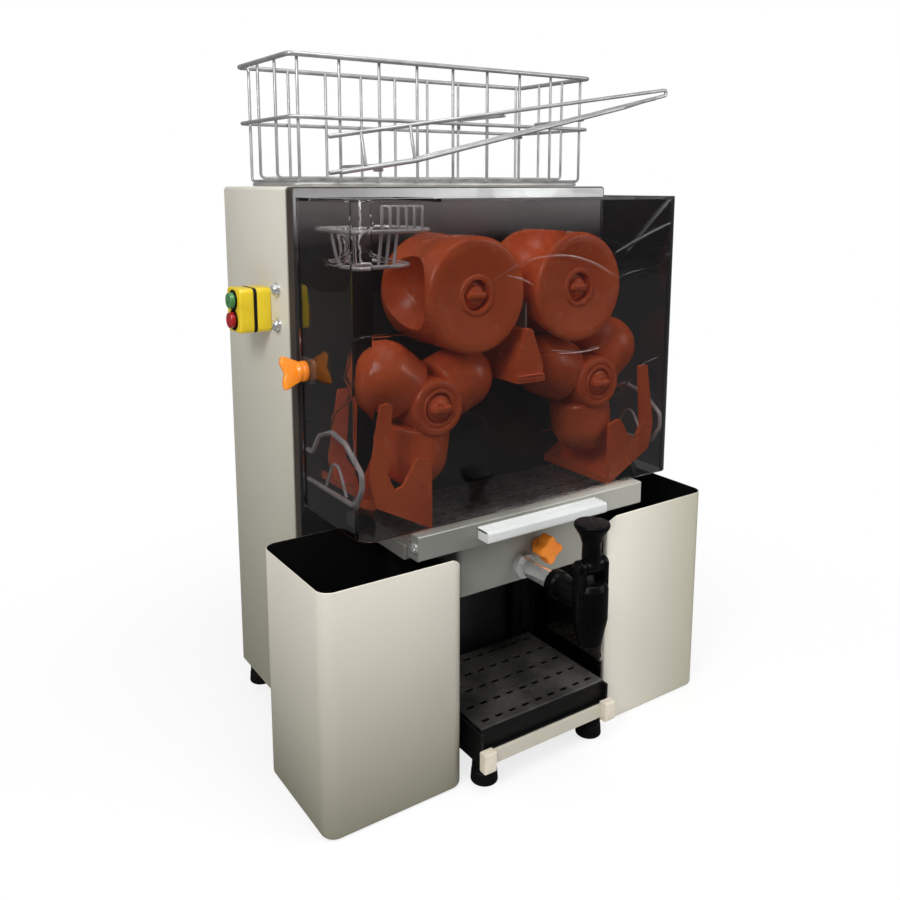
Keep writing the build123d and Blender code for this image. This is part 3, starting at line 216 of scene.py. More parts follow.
def arc_line(half_width=1.3 * MM):
    """A group with a line along a circle seen from the front: 1 where the distance from its centre is the
    radius, and 0 where it differs by half a width or more."""
    group, start, end = new_group("arc_crease", {"Vector": VECTOR, "Centre": VECTOR, "Radius": FLOAT}, "Arc")
    offset, flat, reach = [group.nodes.new("ShaderNodeVectorMath") for _ in range(3)]
    offset.operation, flat.operation, reach.operation = "SUBTRACT", "MULTIPLY", "LENGTH"
    flat.inputs[1].default_value = ACROSS + UP
    joined(group, (start["Vector"], offset.inputs[0]), (start["Centre"], offset.inputs[1]),
           (offset.outputs["Vector"], flat.inputs[0]), (flat.outputs["Vector"], reach.inputs[0]))
    beside = worked_out(group, "SUBTRACT", reach.outputs["Value"], start["Radius"])
    squared = worked_out(group, "MULTIPLY", beside, beside)
    group.links.new(remapped(group, squared, half_width**2, 0.0), end)
    return group


crease_group, arc_group = crease_lines(), arc_line()
print("node groups:", len(bpy.data.node_groups))

# %% [markdown]
# ## One recipe for the opaque finishes
# Steel, moulded plastic and rubber differ in tone, gloss and grain, but the wiring is the same: the
# clouds drift between a light and a dark tone, the grain spreads the roughness and raises a slight
# relief, and the smudges dull the gloss. A brushed sheet stretches the grain along one direction with
# a Mapping node. Each material could be wired by hand, but one function keeps them alike. What is the
# same all over is set on the shader itself.


# %% Colours, coordinates and relief
def tone(red, green, blue):
    """A colour written as it looks on screen, 0 to 255, as the linear values that Blender uses."""
    level = np.array([red, green, blue]) / 255
    linear = np.where(level <= 0.04045, level / 12.92, ((level + 0.055) / 1.055) ** 2.4)
    return (*linear.tolist(), 1.0)


def new_material(name):
    """A material with its node tree, its Principled shader and the object's own coordinates."""
    material = bpy.data.materials.new(name)
    material.use_nodes = True
    tree = material.node_tree
    place = tree.nodes.new("ShaderNodeTexCoord").outputs["Object"]
    return material, tree, tree.nodes["Principled BSDF"], place


def placed_group(tree, group, **values):
    """Places a node group in a material and sets or links its inputs."""
    node = tree.nodes.new("ShaderNodeGroup")
    node.node_tree = group
    for label, value in values.items():
        feed(tree, value, node.inputs[label])
    return node.outputs[0]


def stretched(tree, place, scale, turn=(0.0, 0.0, 0.0)):
    """Coordinates turned and scaled by a Mapping node."""
    mapping = tree.nodes.new("ShaderNodeMapping")
    mapping.inputs["Rotation"].default_value = turn
    mapping.inputs["Scale"].default_value = scale
    tree.links.new(place, mapping.inputs["Vector"])
    return mapping.outputs["Vector"]


def raised(tree, height, strength, depth, normal=None):
    """A Bump node that raises a height over the surface, or over another bump's normal."""
    bump = tree.nodes.new("ShaderNodeBump")
    bump.inputs["Strength"].default_value = strength
    bump.inputs["Distance"].default_value = depth
    tree.links.new(height, bump.inputs["Height"])
    if normal:
        tree.links.new(normal, bump.inputs["Normal"])
    return bump.outputs["Normal"]


print("middle grey on screen is", np.round(tone(128, 128, 128)[0], 3), "in linear light")

# %% The recipe
gloss_spread, smudge_scale, grain_depth, polish = 0.15, 2.5, 0.2 * MM, 0.12


def finish(name, light, dark, rough, metallic=0.0, coat=0.0, clouds=9.0, grain=500.0,
           stretch=(1, 1, 1), relief=0.15, dull=0.1, specular=0.5, fades=(), polished=None):
    """A surface that drifts between two tones, with grain in its gloss and relief, and dull smudges. A
    fade is a direction, where it starts and ends along it in metres, and the tone it ends in. The polished
    part, given by a direction, a start and an end, mirrors its surroundings."""
    material, tree, shader, place = new_material(name)
    shader.inputs["Metallic"].default_value = metallic
    shader.inputs["Coat Weight"].default_value = coat
    shader.inputs["Specular IOR Level"].default_value = specular
    cloud = placed_group(tree, clouds_group, Vector=place, Scale=clouds)
    grit = placed_group(tree, grain_group, Vector=stretched(tree, place, stretch), Scale=grain)
    smudge = placed_group(tree, smudge_group, Vector=place, Scale=clouds * smudge_scale)
    colour = placed_group(tree, tone_group, Light=light, Dark=dark, Mask=cloud)
    for direction, first, last, deep in fades:
        mask = placed_group(tree, fade_group, Vector=place, Direction=direction, Start=first, End=last)
        colour = placed_group(tree, tone_group, Light=colour, Dark=deep, Mask=mask)
    gloss = spread(tree, grit, rough * (1 - gloss_spread), rough * (1 + gloss_spread))
    gloss = worked_out(tree, "ADD", gloss, spread(tree, smudge, 0.0, dull))
    if polished:
        direction, first, last = polished
        shine = placed_group(tree, fade_group, Vector=place, Direction=direction, Start=first, End=last)
        gloss = worked_out(tree, "MULTIPLY", gloss, spread(tree, shine, 1.0, polish))
        tree.links.new(spread(tree, shine, metallic, 1.0), shader.inputs["Metallic"])
    normal = raised(tree, grit, relief, grain_depth)
    joined(tree, (colour, shader.inputs["Base Color"]), (gloss, shader.inputs["Roughness"]),
           (normal, shader.inputs["Normal"]))
    return material


print("gloss varies by", gloss_spread, "and grain is", grain_depth / MM, "mm deep")

# %% [markdown]
# ## Satin sheet steel
# The cabinet, the bins and the front rail are thin steel with a satin finish, warm and pale. The cabinet's
# sheet is darker towards the counter and has a dark band along its front edge, both painted shade. The two
# bins are one steel in lit and shaded copies: the right one painted lighter, and darker on its outer side,
# the left one painted darker towards the counter. The flanks of the bins that face each other are polished,
# so they mirror the black base. Separate materials would meet in a hard seam. A fade along a direction
# keeps one finish without a seam.

# %% Satin sheet
satin = dict(metallic=0.2, clouds=4.0, grain=60.0, stretch=(1, 1, 18), relief=0.05, dull=0.05)
satin_gloss = 0.42
# Painted shade: the sheet is darker towards the counter.
painted_shade_down = (UP, 0.56, 0.03, tone(150, 148, 131))
# Painted shade: a dark band along the cabinet's front edge, next to the plate.
painted_shade_edge = (AHEAD, plate_face + 16 * MM, plate_face + 11 * MM, tone(62, 54, 49))
satin_sheet = finish("satin_sheet", tone(220, 216, 204), tone(213, 209, 197), satin_gloss, **satin,
                     fades=[painted_shade_down, painted_shade_edge])
satin_strip = finish("satin_strip", tone(208, 203, 188), tone(200, 195, 180), 0.36, **satin)
print("satin finishes:", satin_sheet.name, satin_strip.name)

# %% Steel for the bins
bin_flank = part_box("peel_bin_right")[0].x
flank_edge = (bin_flank + 5 * MM, bin_flank + 2 * MM)
mirror_tone = tone(150, 148, 143)
# Painted shade and light: one steel in two copies. The left bin darkens towards the counter; the right one is
# lighter and darkens towards its outer side.
left_bin_painted_shade = finish("left_bin_painted_shade", tone(222, 217, 205), tone(216, 211, 198), satin_gloss, **satin,
                        polished=(-ACROSS, *flank_edge),
                        fades=[(UP, 0.235, 0.0, tone(137, 135, 118)), (-ACROSS, *flank_edge, mirror_tone)])
right_bin_painted_light_and_shade = finish("right_bin_painted_light_and_shade", tone(236, 231, 218), tone(230, 225, 212), satin_gloss, **satin,
                         polished=(ACROSS, *flank_edge),
                         fades=[(ACROSS, 0.12, 0.245, tone(184, 180, 160)),
                                (ACROSS, *flank_edge, mirror_tone)])
print("polished flanks stand", round(2 * bin_flank / MM), "mm apart")

# %% [markdown]
# ## Plates, wires and the drive
# The plate behind the drums is steel whose dark tone is painted shade, with a painted reflection that
# brightens it near its top. The drawer and the tank are brushed, with painted light that lightens them
# towards the right. The wires are drawn, and those inside the hood get a paler copy of the finish as painted
# light. The pipe and screws are chromed. Inside, gears and shafts are plain oily steel and the bearings
# bronze. A fully metallic finish shows only what it mirrors, which is little in a plain studio. A lower
# Metallic keeps some of its own tone.

# %% Other metals
# Painted light: the tone lightens towards the right.
brushed_steel_painted_light = finish("brushed_steel_painted_light", tone(156, 156, 149), tone(138, 139, 132), 0.45, metallic=0.5,
                       clouds=7.0, grain=70.0, stretch=(1, 14, 14), relief=0.12, dull=0.12,
                       fades=[(ACROSS, -0.02, 0.1, tone(198, 198, 188))])
# Painted shade and reflection: a dark tone for steel seen in shade, and a lighter band near the top.
plate_painted_shade_and_reflection = finish("plate_painted_shade_and_reflection", tone(74, 75, 76), tone(54, 55, 57), 0.36, metallic=0.7,
                    clouds=6.0, grain=80.0, stretch=(1, 8, 12), relief=0.1, dull=0.15,
                    fades=[(UP, 0.53, 0.568, tone(176, 178, 177))])
pierced = dict(grain=90.0, stretch=(1, 10, 10), relief=0.1, dull=0.15)
dark_steel = finish("dark_steel", tone(112, 110, 106), tone(66, 65, 63), 0.2, metallic=0.55, clouds=20.0,
                    **pierced)
screen_steel = finish("screen_steel", tone(134, 133, 129), tone(92, 91, 88), 0.28, metallic=0.4,
                      clouds=18.0, **pierced)
drawn = dict(clouds=40.0, grain=300.0, relief=0.04, dull=0.1)
bright_wire = finish("bright_wire", tone(172, 173, 173), tone(148, 149, 150), 0.36, metallic=0.55, **drawn)
chromed_steel = finish("chromed_steel", tone(238, 238, 237), tone(216, 216, 214), 0.12, metallic=0.8, **drawn)
# Painted light: a paler, less metallic copy of the wire finish, for the wires inside the hood.
wire_painted_light = finish("wire_painted_light", tone(242, 242, 240), tone(224, 224, 222), 0.16, metallic=0.35, **drawn)
turned_steel = finish("turned_steel", tone(182, 182, 180), tone(150, 150, 150), 0.26, metallic=1.0,
                      clouds=30.0, grain=250.0, stretch=(1, 12, 1), relief=0.15)
oiled_gear = finish("oiled_gear", tone(132, 130, 124), tone(96, 93, 86), 0.32, metallic=1.0,
                    clouds=24.0, grain=350.0, relief=0.25, dull=0.2)
bearing_bronze = finish("bearing_bronze", tone(186, 140, 82), tone(150, 106, 58), 0.34, metallic=1.0,
                        clouds=30.0, grain=300.0, relief=0.2)
motor_paint = finish("motor_paint", tone(98, 102, 106), tone(78, 82, 86), 0.5, clouds=16.0,
                     grain=420.0, relief=0.35, dull=0.15)
print("materials so far:", len(bpy.data.materials))

# %% [markdown]
# ## Plastics and rubber
# The drums are moulded in a red-brown orange, glossy and slightly uneven where the melt met. The knobs
# are a clearer orange. Black parts differ mostly in gloss: the base is dull, the tap shines. Plain colours
# would do at a distance, but the recipe's grain and smudges keep them from looking like paint.

# %% Plastic finishes
drum_plastic = finish("drum_plastic", tone(240, 116, 62), tone(220, 99, 52), 0.24, coat=0.2,
                      clouds=14.0, grain=260.0, relief=0.06, dull=0.14)
knob_plastic = finish("knob_plastic", tone(242, 142, 36), tone(228, 122, 26), 0.3, coat=0.1,
                      clouds=30.0, grain=500.0, relief=0.1)
black_plastic = finish("black_plastic", tone(7, 7, 8), tone(3, 3, 4), 0.3, clouds=20.0,
                       grain=450.0, relief=0.08, dull=0.2, specular=0.1)
matt_black = finish("matt_black", tone(11, 11, 11), tone(6, 6, 6), 0.5, clouds=14.0, grain=500.0,
                    relief=0.2, dull=0.15, specular=0.3)
foot_rubber = finish("foot_rubber", tone(9, 9, 9), tone(5, 5, 5), 0.62, clouds=40.0,
                     grain=700.0, relief=0.4, specular=0.2)
grip_white = finish("grip_white", tone(204, 206, 205), tone(192, 194, 192), 0.34, clouds=18.0,
                    grain=420.0, relief=0.1)
clip_cream = finish("clip_cream", tone(216, 206, 190), tone(200, 189, 172), 0.4, clouds=40.0,
                    grain=420.0, relief=0.12)
box_yellow = finish("box_yellow", tone(224, 196, 38), tone(204, 174, 26), 0.34, clouds=26.0,
                    grain=600.0, relief=0.2)
start_green = finish("start_green", tone(74, 132, 78), tone(54, 108, 60), 0.26, coat=0.2, clouds=50.0,
                     grain=600.0, relief=0.08)
stop_red = finish("stop_red", tone(168, 26, 30), tone(132, 16, 22), 0.26, coat=0.2, clouds=50.0,
                  grain=600.0, relief=0.08)
print("materials so far:", len(bpy.data.materials))

# %% [markdown]
# ## Smoked clear acrylic
# The hood is dark tinted acrylic, thin enough to ripple. A see-through mix would do for a flat pane, but a
# real one bends light and mirrors the room, so its shader is a transmitting Principled with a smoke tint.
# Long ripples and short creases in its relief break up the mirrored lamps, as in any thin sheet, and three
# long creases are placed on the front pane. Light from the lamps would be lost in it, as caustics are hard
# to trace, so for shadow rays alone the pane is a plain tinted filter.

# %% Long creases on the front pane
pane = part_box("hood")[0].y
pane_depth = (-pane - 5 * MM, -pane - 4 * MM)
front_creases = [dict(centre=(0.0214, 0.0, 0.3715), radius=0.1487, along=UP, shows=(0.488, 0.502)),
                 dict(centre=(0.347, 0.0, -0.029), radius=0.6, along=ACROSS, shows=(0.1, 0.12)),
                 dict(centre=(0.545, 0.0, 0.096), radius=0.6, along=ACROSS, shows=(0.115, 0.135))]


def with_long_creases(tree, place, crease):
    """Adds arcs to a mask of creases. Each arc fades in along a direction, and only on the front pane."""
    def faded(direction, first, last):
        """A mask that rises from 0 to 1 between two places along a direction."""
        return placed_group(tree, fade_group, Vector=place, Direction=direction, Start=first, End=last)

    in_front = faded(-AHEAD, *pane_depth)
    for bend in front_creases:
        arc = placed_group(tree, arc_group, Vector=place, Centre=bend["centre"], Radius=bend["radius"])
        arc = worked_out(tree, "MULTIPLY", arc, faded(bend["along"], *bend["shows"]))
        crease = worked_out(tree, "MAXIMUM", crease, worked_out(tree, "MULTIPLY", arc, in_front))
    return crease


print("long creases:", len(front_creases))

# %% The hood's finish
smoke, filtered, acrylic_index = (0.37, 0.355, 0.36, 1.0), (0.80, 0.78, 0.78, 1.0), 1.45
slant = (0.0, radians(-40), radians(15))


def smoked_acrylic():
    """Tinted transmitting shader with ripples, that lets lamps shine through for shadow rays."""
    material, tree, shader, place = new_material("smoked_acrylic")
    shader.inputs["Base Color"].default_value = smoke
    shader.inputs["Transmission Weight"].default_value = 1.0
    shader.inputs["IOR"].default_value = acrylic_index
    slanted = stretched(tree, place, (1.0, 1.0, 2.5), slant)
    ripple = placed_group(tree, clouds_group, Vector=slanted, Scale=4.0)
    crease = with_long_creases(tree, place, placed_group(tree, crease_group, Vector=slanted, Scale=5.5))
    smudge = placed_group(tree, smudge_group, Vector=place, Scale=9.0)
    gloss = worked_out(tree, "ADD", spread(tree, smudge, 0.02, 0.06), spread(tree, crease, 0.0, 0.2))
    rippled = raised(tree, ripple, strength=0.12, depth=4 * MM)
    normal = raised(tree, crease, strength=0.4, depth=0.8 * MM, normal=rippled)
    clear = tree.nodes.new("ShaderNodeBsdfTransparent")
    clear.inputs["Color"].default_value = filtered
    rays = tree.nodes.new("ShaderNodeLightPath")
    choose = tree.nodes.new("ShaderNodeMixShader")
    joined(tree, (gloss, shader.inputs["Roughness"]), (normal, shader.inputs["Normal"]),
           (rays.outputs["Is Shadow Ray"], choose.inputs["Fac"]), (shader.outputs["BSDF"], choose.inputs[1]),
           (clear.outputs["BSDF"], choose.inputs[2]),
           (choose.outputs["Shader"], tree.nodes["Material Output"].inputs["Surface"]))
    return material


hood_acrylic = smoked_acrylic()
print("the hood's pane has", len(hood_acrylic.node_tree.nodes), "nodes")

# %% [markdown]
# ## Turning arrays into pieces
# A grid of points becomes a surface when every point is joined to its neighbours. A piece is one or
# more such surfaces in one mesh. It could be built face by face with bmesh, but whole arrays are quicker
# and shorter. Points that fall together at poles and seams are merged, and faces are turned outwards, so
# that the mesh is closed and could be printed.


# %% Patches
def patch(grid, close_rows=False, close_columns=False, caps=False, finish_index=0):
    """Quads between neighbours of a grid of points; closed directions wrap, caps fill both end rows."""
    rows, columns = grid.shape[:2]
    row = np.arange(rows if close_rows else rows - 1)
    column = np.arange(columns if close_columns else columns - 1)
    row, column = np.meshgrid(row, column, indexing="ij")
    next_row, next_column = (row + 1) % rows, (column + 1) % columns
    corners = [row * columns + column, row * columns + next_column,
               next_row * columns + next_column, next_row * columns + column]
    faces = np.stack(corners, axis=-1).reshape(-1, 4).tolist()
    if caps:
        faces.append(list(range(columns)))
        faces.append(list(range((rows - 1) * columns, rows * columns)))
    return grid.reshape(-1, 3), faces, finish_index


print("a grid of 3 by 3 points has", len(patch(np.zeros((3, 3, 3)))[1]), "quads")

# %% Pieces
merge_distance, thin_edge = 0.002, 0.001


def make_piece(name, patches, finishes, body, nodes=(), sharp=35):
    """One closed mesh from patches in millimetres, finished, riding on a body and standing for nodes."""
    points, faces, indices, first = [], [], [], 0
    for patch_points, patch_faces, index in patches:
        points.append(patch_points)
        faces += [[first + corner for corner in face] for face in patch_faces]
        indices += [index] * len(patch_faces)
        first += len(patch_points)
    mesh = bpy.data.meshes.new(name)
    mesh.from_pydata(np.concatenate(points) * MM + (0, plate_face, 0), [], faces)
    mesh.polygons.foreach_set("material_index", indices)
    for material in finishes:
        mesh.materials.append(material)
    shape = bmesh.new()
    shape.from_mesh(mesh)
    bmesh.ops.remove_doubles(shape, verts=shape.verts, dist=merge_distance * MM)
    bmesh.ops.dissolve_degenerate(shape, edges=shape.edges, dist=thin_edge * MM)
    bmesh.ops.recalc_face_normals(shape, faces=shape.faces)
    shape.to_mesh(mesh)
    shape.free()
    mesh.shade_smooth()
    mesh.set_sharp_from_angle(angle=radians(sharp))
    piece = bpy.data.objects.new(name, mesh)
    bpy.context.scene.collection.objects.link(piece)
    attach(piece, body)
    if nodes:
        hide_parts(*nodes)
    print(name, len(mesh.polygons), "faces")
    return piece


print("points closer than", merge_distance, "mm are merged")

# %% [markdown]
# ## Ways to make a surface
# Almost every piece of this machine is one of four things: a wire bent along a path, a part turned on a
# lathe, a plate cut to an outline with softened edges, or a formula. Curves and the Screw modifier could
# make the first three, but a few lines of arrays give exact bends and leave nothing to apply.


# %% Bent paths
def unit(vectors):
    """Vectors of length one along the last axis."""
    return vectors / np.linalg.norm(vectors, axis=-1, keepdims=True)


def bent(points, radii, closed=False, steps=6):
    """Straight runs whose corners are arcs: each starts radius / tan(half the corner) before the corner
    and turns about a centre that lies radius / sin(half the corner) in from it."""
    points = np.asarray(points, float)
    if closed:
        before, corner, after = np.roll(points, 1, axis=0), points, np.roll(points, -1, axis=0)
    else:
        before, corner, after = points[:-2], points[1:-1], points[2:]
    back, ahead = unit(before - corner), unit(after - corner)
    half = np.arccos(np.clip((back * ahead).sum(-1, keepdims=True), -1, 1)) / 2
    radius = np.broadcast_to(np.asarray(radii, float), len(corner))[:, None]
    centre = corner + unit(back + ahead) * radius / np.sin(half)
    out = corner + back * radius / np.tan(half) - centre
    turn = ((np.pi - 2 * half) * np.linspace(0, 1, steps + 1))[..., None]
    arcs = centre[:, None] + out[:, None] * np.cos(turn) - (back * radius)[:, None] * np.sin(turn)
    arcs = arcs.reshape(-1, points.shape[1])
    return arcs if closed else np.concatenate([points[:1], arcs, points[-1:]])


print("a right-angled bend has", len(bent([(0, 0), (10, 0), (10, 10)], 2)), "points")


# %% Tubes
def tube(path, radius, side, closed=False, sides=12, steps=4):
    """A circle carried square to a path; side is a direction that the path never runs along. Open ends
    are domed: over the last 0.6 of a radius, the circle shrinks as the sine of an angle."""
    path = np.asarray(path, float)
    if closed:
        heading = unit(np.roll(path, -1, axis=0) - np.roll(path, 1, axis=0))
        size = np.full(len(path), radius)
    else:
        lean = np.linspace(0, np.pi / 2, steps)[:, None]
        reach = 0.6 * radius * (1 - np.cos(lean))
        first, last = unit(path[1] - path[0]), unit(path[-2] - path[-1])
        path = np.concatenate([path[0] + first * reach, path[1:-1], (path[-1] + last * reach)[::-1]])
        dome = radius * np.sin(lean[:, 0])
        size = np.concatenate([dome, np.full(len(path) - 2 * steps, radius), dome[::-1]])
        heading = unit(np.gradient(path, axis=0))
    across = unit(np.cross(heading, side))
    up = np.cross(across, heading)
    turn = np.linspace(0, 2 * np.pi, sides, endpoint=False)[:, None]
    circle = across[:, None] * np.cos(turn) + up[:, None] * np.sin(turn)
    return patch(path[:, None] + size[:, None, None] * circle, close_rows=closed, close_columns=True)


print("a straight wire has", len(tube([(0, 0, 0), (10, 0, 0)], 1, UP)[1]), "faces")

# %% Turned parts
AXES = {"x": ACROSS, "y": AHEAD, "z": UP}


def round_axis(centre, axis, radius, along, turn):
    """Points at a radius, a distance along an axis and a turn about it."""
    ahead = AXES[axis]
    first, second = np.roll(ahead, 1), np.roll(ahead, 2)
    circle = first * np.cos(turn)[..., None] + second * np.sin(turn)[..., None]
    return np.asarray(centre, float) + along[..., None] * ahead + radius[..., None] * circle


def turned(profile, centre, axis, sides=48, closed=False):
    """A profile of (radius, distance along the axis) carried once round the axis, as on a lathe."""
    profile = np.asarray(profile, float)
    turn = np.linspace(0, 2 * np.pi, sides, endpoint=False)
    radius, turn_grid = np.meshgrid(profile[:, 0], turn, indexing="ij")
    along = np.broadcast_to(profile[:, 1:], radius.shape)
    return patch(round_axis(centre, axis, radius, along, turn_grid), close_rows=closed, close_columns=True)


print("a turned disc has", len(turned([(0, 0), (5, 0), (5, 1), (0, 1)], (0, 0, 0), "z")[1]), "faces")


# %% Outlines and cut plates
def grown(outline, amount):
    """An outline moved outwards by an amount: each point goes along the mitre of its two edges' normals."""
    run = unit(np.roll(outline, -1, axis=0) - outline)
    normal = np.stack([run[:, 1], -run[:, 0]], axis=-1)
    before = np.roll(normal, 1, axis=0)
    mitre = (normal + before) / (1 + (normal * before).sum(-1, keepdims=True))
    x, y = outline.T
    turns_left = np.sign((x * np.roll(y, -1) - y * np.roll(x, -1)).sum())
    return outline + turns_left * amount * mitre


def on_plane(outline, axis, height):
    """Points of a flat outline at a height along an axis: (x, z) for y, (y, z) for x, (x, y) for z."""
    first, second = {"x": ("y", "z"), "y": ("x", "z"), "z": ("x", "y")}[axis]
    flat = outline[:, :1] * AXES[first] + outline[:, 1:] * AXES[second]
    return flat + height * AXES[axis]


def cut_plate(outline, axis, low, high, edge, steps=3, finish_index=0):
    """An outline carried from low to high along an axis, with both rims rounded to a quarter circle."""
    lean = np.linspace(0, np.pi / 2, steps + 1)
    inset, rise = edge * (1 - np.sin(lean)), edge * (1 - np.cos(lean))
    levels = [(i, low + r) for i, r in zip(inset, rise)]
    levels += [(i, high - r) for i, r in zip(inset[::-1], rise[::-1])]
    rows = np.stack([on_plane(grown(outline, -i), axis, z) for i, z in levels])
    return patch(rows, close_columns=True, caps=True, finish_index=finish_index)


def rounded_rectangle(low, high, corner, steps=6):
    """A rectangle between two corners, with its own corners rounded."""
    (x0, y0), (x1, y1) = low, high
    return bent([(x0, y0), (x1, y0), (x1, y1), (x0, y1)], corner, closed=True, steps=steps)


print("a rounded square has", len(rounded_rectangle((0, 0), (10, 10), 2)), "points")

# %% [markdown]
# ## The cabinet's folded shell
# One sheet is folded over two edges to make both sides and the top. A box would do from afar, but a
# real bend has a radius that catches a line of light. So the U-shaped outline of the sheet, outside
# and inside, is carried from front to back.

# %% Cabinet shell
cabinet_low, cabinet_high = span("cabinet_shell")
sheet = 1.5
bend = 4.0


def sheet_edge(inset):
    """The folded sheet's line from the left foot over the top to the right foot, set in by an amount."""
    left, right, top = cabinet_low[0] + inset, cabinet_high[0] - inset, cabinet_high[2] - inset
    base = cabinet_low[2]
    return bent([(left, base), (left, top), (right, top), (right, base)], bend - inset)


shell_outline = np.concatenate([sheet_edge(0), sheet_edge(sheet)[::-1]])
make_piece("cabinet_sheet", [cut_plate(shell_outline, "y", cabinet_low[1], cabinet_high[1], 0.5)],
           [satin_sheet], "machine", ["cabinet_shell"])

# %% [markdown]
# ## Rubber feet
# Each foot is a rubber cone with a groove where it grips its screw. A cylinder with loop cuts could be
# pulled into shape, but a round part is described best by its profile. So it is turned: one profile,
# carried round an upright axis, at four places.

# %% Feet
feet_high = span("feet")[1]
base_low, base_high = span("front_base")
foot_radius = 14.0
foot_height = feet_high[2]
foot_profile = np.concatenate([
    [(0, 0)], bent([(9, 0), (foot_radius, 0), (13.1, 12), (11.6, 13.5), (12.6, 15), (12, foot_height),
                    (0, foot_height)], [1.8, 0.6, 0.6, 0.6, 0.8])])
front_foot = (base_high[0] - foot_radius, base_low[1] + foot_radius)
rear_foot = (feet_high[0] - foot_radius, feet_high[1] - foot_radius)
foot_places = [(side * x, y, 0) for x, y in (front_foot, rear_foot) for side in (-1, 1)]
make_piece("rubber_feet", [turned(foot_profile, place, "z") for place in foot_places], [foot_rubber],
           "machine", ["feet"])

# %% [markdown]
# ## Clips at the ends of the front rail
# Two pale folded clips hold the steel strip across the front of the base. A cube with a Bevel modifier
# would look much the same. A plate cut to an outline needs no modifier, and its corners and rims can have
# different radii, as a folded clip has.

# %% Rail clips
clips_low, clips_high = span("rail_clips")
clip_width, clip_thicker = 14.0, 4.0
clip_outline = rounded_rectangle(clips_low[1:] - (clip_thicker, 0), clips_high[1:], 1.6)
clip_starts = (clips_low[0], clips_high[0] - clip_width)
make_piece("rail_end_clips", [cut_plate(clip_outline, "x", x, x + clip_width, 0.8) for x in clip_starts],
           [clip_cream], "machine", ["rail_clips"])

# %% [markdown]
# ## Screws and dome nuts
# The rear cover is held by pan-head screws. A plain disc looks like a rivet, so each head is a polar
# grid whose height falls off from the middle like a lens, with a cross sunk where two bands overlap
# the middle. The dome nuts beside the switch box have a six-sided skirt: a circle whose radius swells
# towards each corner as one over a cosine.


# %% Screw heads
def ease(value):
    """0 below 0, 1 above 1, and a smooth step between."""
    value = np.clip(value, 0, 1)
    return value * value * (3 - 2 * value)


def screw_head(centre, axis, out, radius, height, rings=14, sides=48):
    """Pan head seen from outside: a lens-shaped cap over a straight rim, with a cross-shaped recess."""
    lens_drop, bar_half, bar_edge, cross_reach, cross_edge, cross_depth = 0.45, 0.16, 0.08, 0.62, 0.1, 0.6
    turn = np.linspace(0, 2 * np.pi, sides, endpoint=False)
    share, turn = np.meshgrid(np.concatenate([np.linspace(0, 1, rings), [1.0]]), turn, indexing="ij")
    cap = height * (1 - lens_drop * share**2)
    bar = np.minimum(np.abs(np.cos(turn)), np.abs(np.sin(turn))) * share
    cross = ease((bar_half - bar) / bar_edge) * ease((cross_reach - share) / cross_edge)
    cap = cap - cross_depth * height * cross
    cap[-1] = 0
    return patch(round_axis(centre, axis, share * radius, out * cap, turn), close_columns=True)


print("a screw head has", len(screw_head((0, 0, 0), "y", 1, 4.0, 2.5)[1]), "faces")


# %% Six-sided nuts
def six_sided(turn, flat):
    """Radius of a hexagon: half its width across flats over the cosine of the angle from the nearest flat."""
    return flat / np.cos((turn + np.pi / 6) % (np.pi / 3) - np.pi / 6)


def six_sided_nut(centre, axis, low, high, flat, corner):
    """A hexagon with corners turned off: the radius is the smaller of the hexagon and a circle."""
    turn = np.linspace(0, 2 * np.pi, 96, endpoint=False)
    slope, cut = 0.6, 0.8
    level = np.array([low, low + slope, high - slope, high])
    limit = np.array([corner - cut, corner, corner, corner - cut])
    along, turn_grid = np.meshgrid(level, turn, indexing="ij")
    radius = np.minimum(six_sided(turn_grid, flat), limit[:, None])
    return patch(round_axis(centre, axis, radius, along, turn_grid), close_columns=True, caps=True)


print("a corner lies", round(six_sided(np.pi / 6, 1.0), 3), "times as far out as a flat")

# %% Screws and dome nuts
screw_radius, screw_height, screw_inset, screw_rows = 4.0, 2.5, 14.0, 4
panel_back = span("back_panel")[1][1]
screw_heights = np.linspace(cabinet_low[2] + screw_inset, cabinet_high[2] - screw_inset, screw_rows)
screw_places = [(side * (cabinet_high[0] - screw_inset), panel_back, z)
                for side in (-1, 1) for z in screw_heights]
fasteners = [screw_head(place, "y", 1, screw_radius, screw_height) for place in screw_places]
dome_y, dome_heights, dome_radius, dome_foot, dome_rise = 40.0, (486.0, 450.0), 6.0, 2.8, 4.7
washer_radius, washer_thick = 7.5, 1.5
dome_lean = np.linspace(0, np.pi / 2, 8)
dome_profile = np.stack([dome_radius * np.cos(dome_lean), -dome_foot - dome_rise * np.sin(dome_lean)],
                        axis=-1)
washer_profile = bent([(0, 0), (washer_radius, 0), (washer_radius, -washer_thick), (0, -washer_thick)], 0.5,
                      steps=3)
for height in dome_heights:
    seat = (cabinet_low[0], dome_y, height)
    fasteners += [turned(washer_profile, seat, "x"), turned(dome_profile, seat, "x", sides=32),
                  six_sided_nut(seat, "x", low=-4.4, high=-1.4, flat=5.6, corner=6.2)]
make_piece("screws_and_dome_nuts", fasteners, [chromed_steel], "machine", ["cover_fasteners"])

# %% [markdown]
# ## Cable gland
# A black gland sits at the rear, low in the cover: a six-sided nut and a rounded cap with a bore. A
# cylinder could be cut to shape, but the nut's function is here already and the cap is round, so it is
# turned.

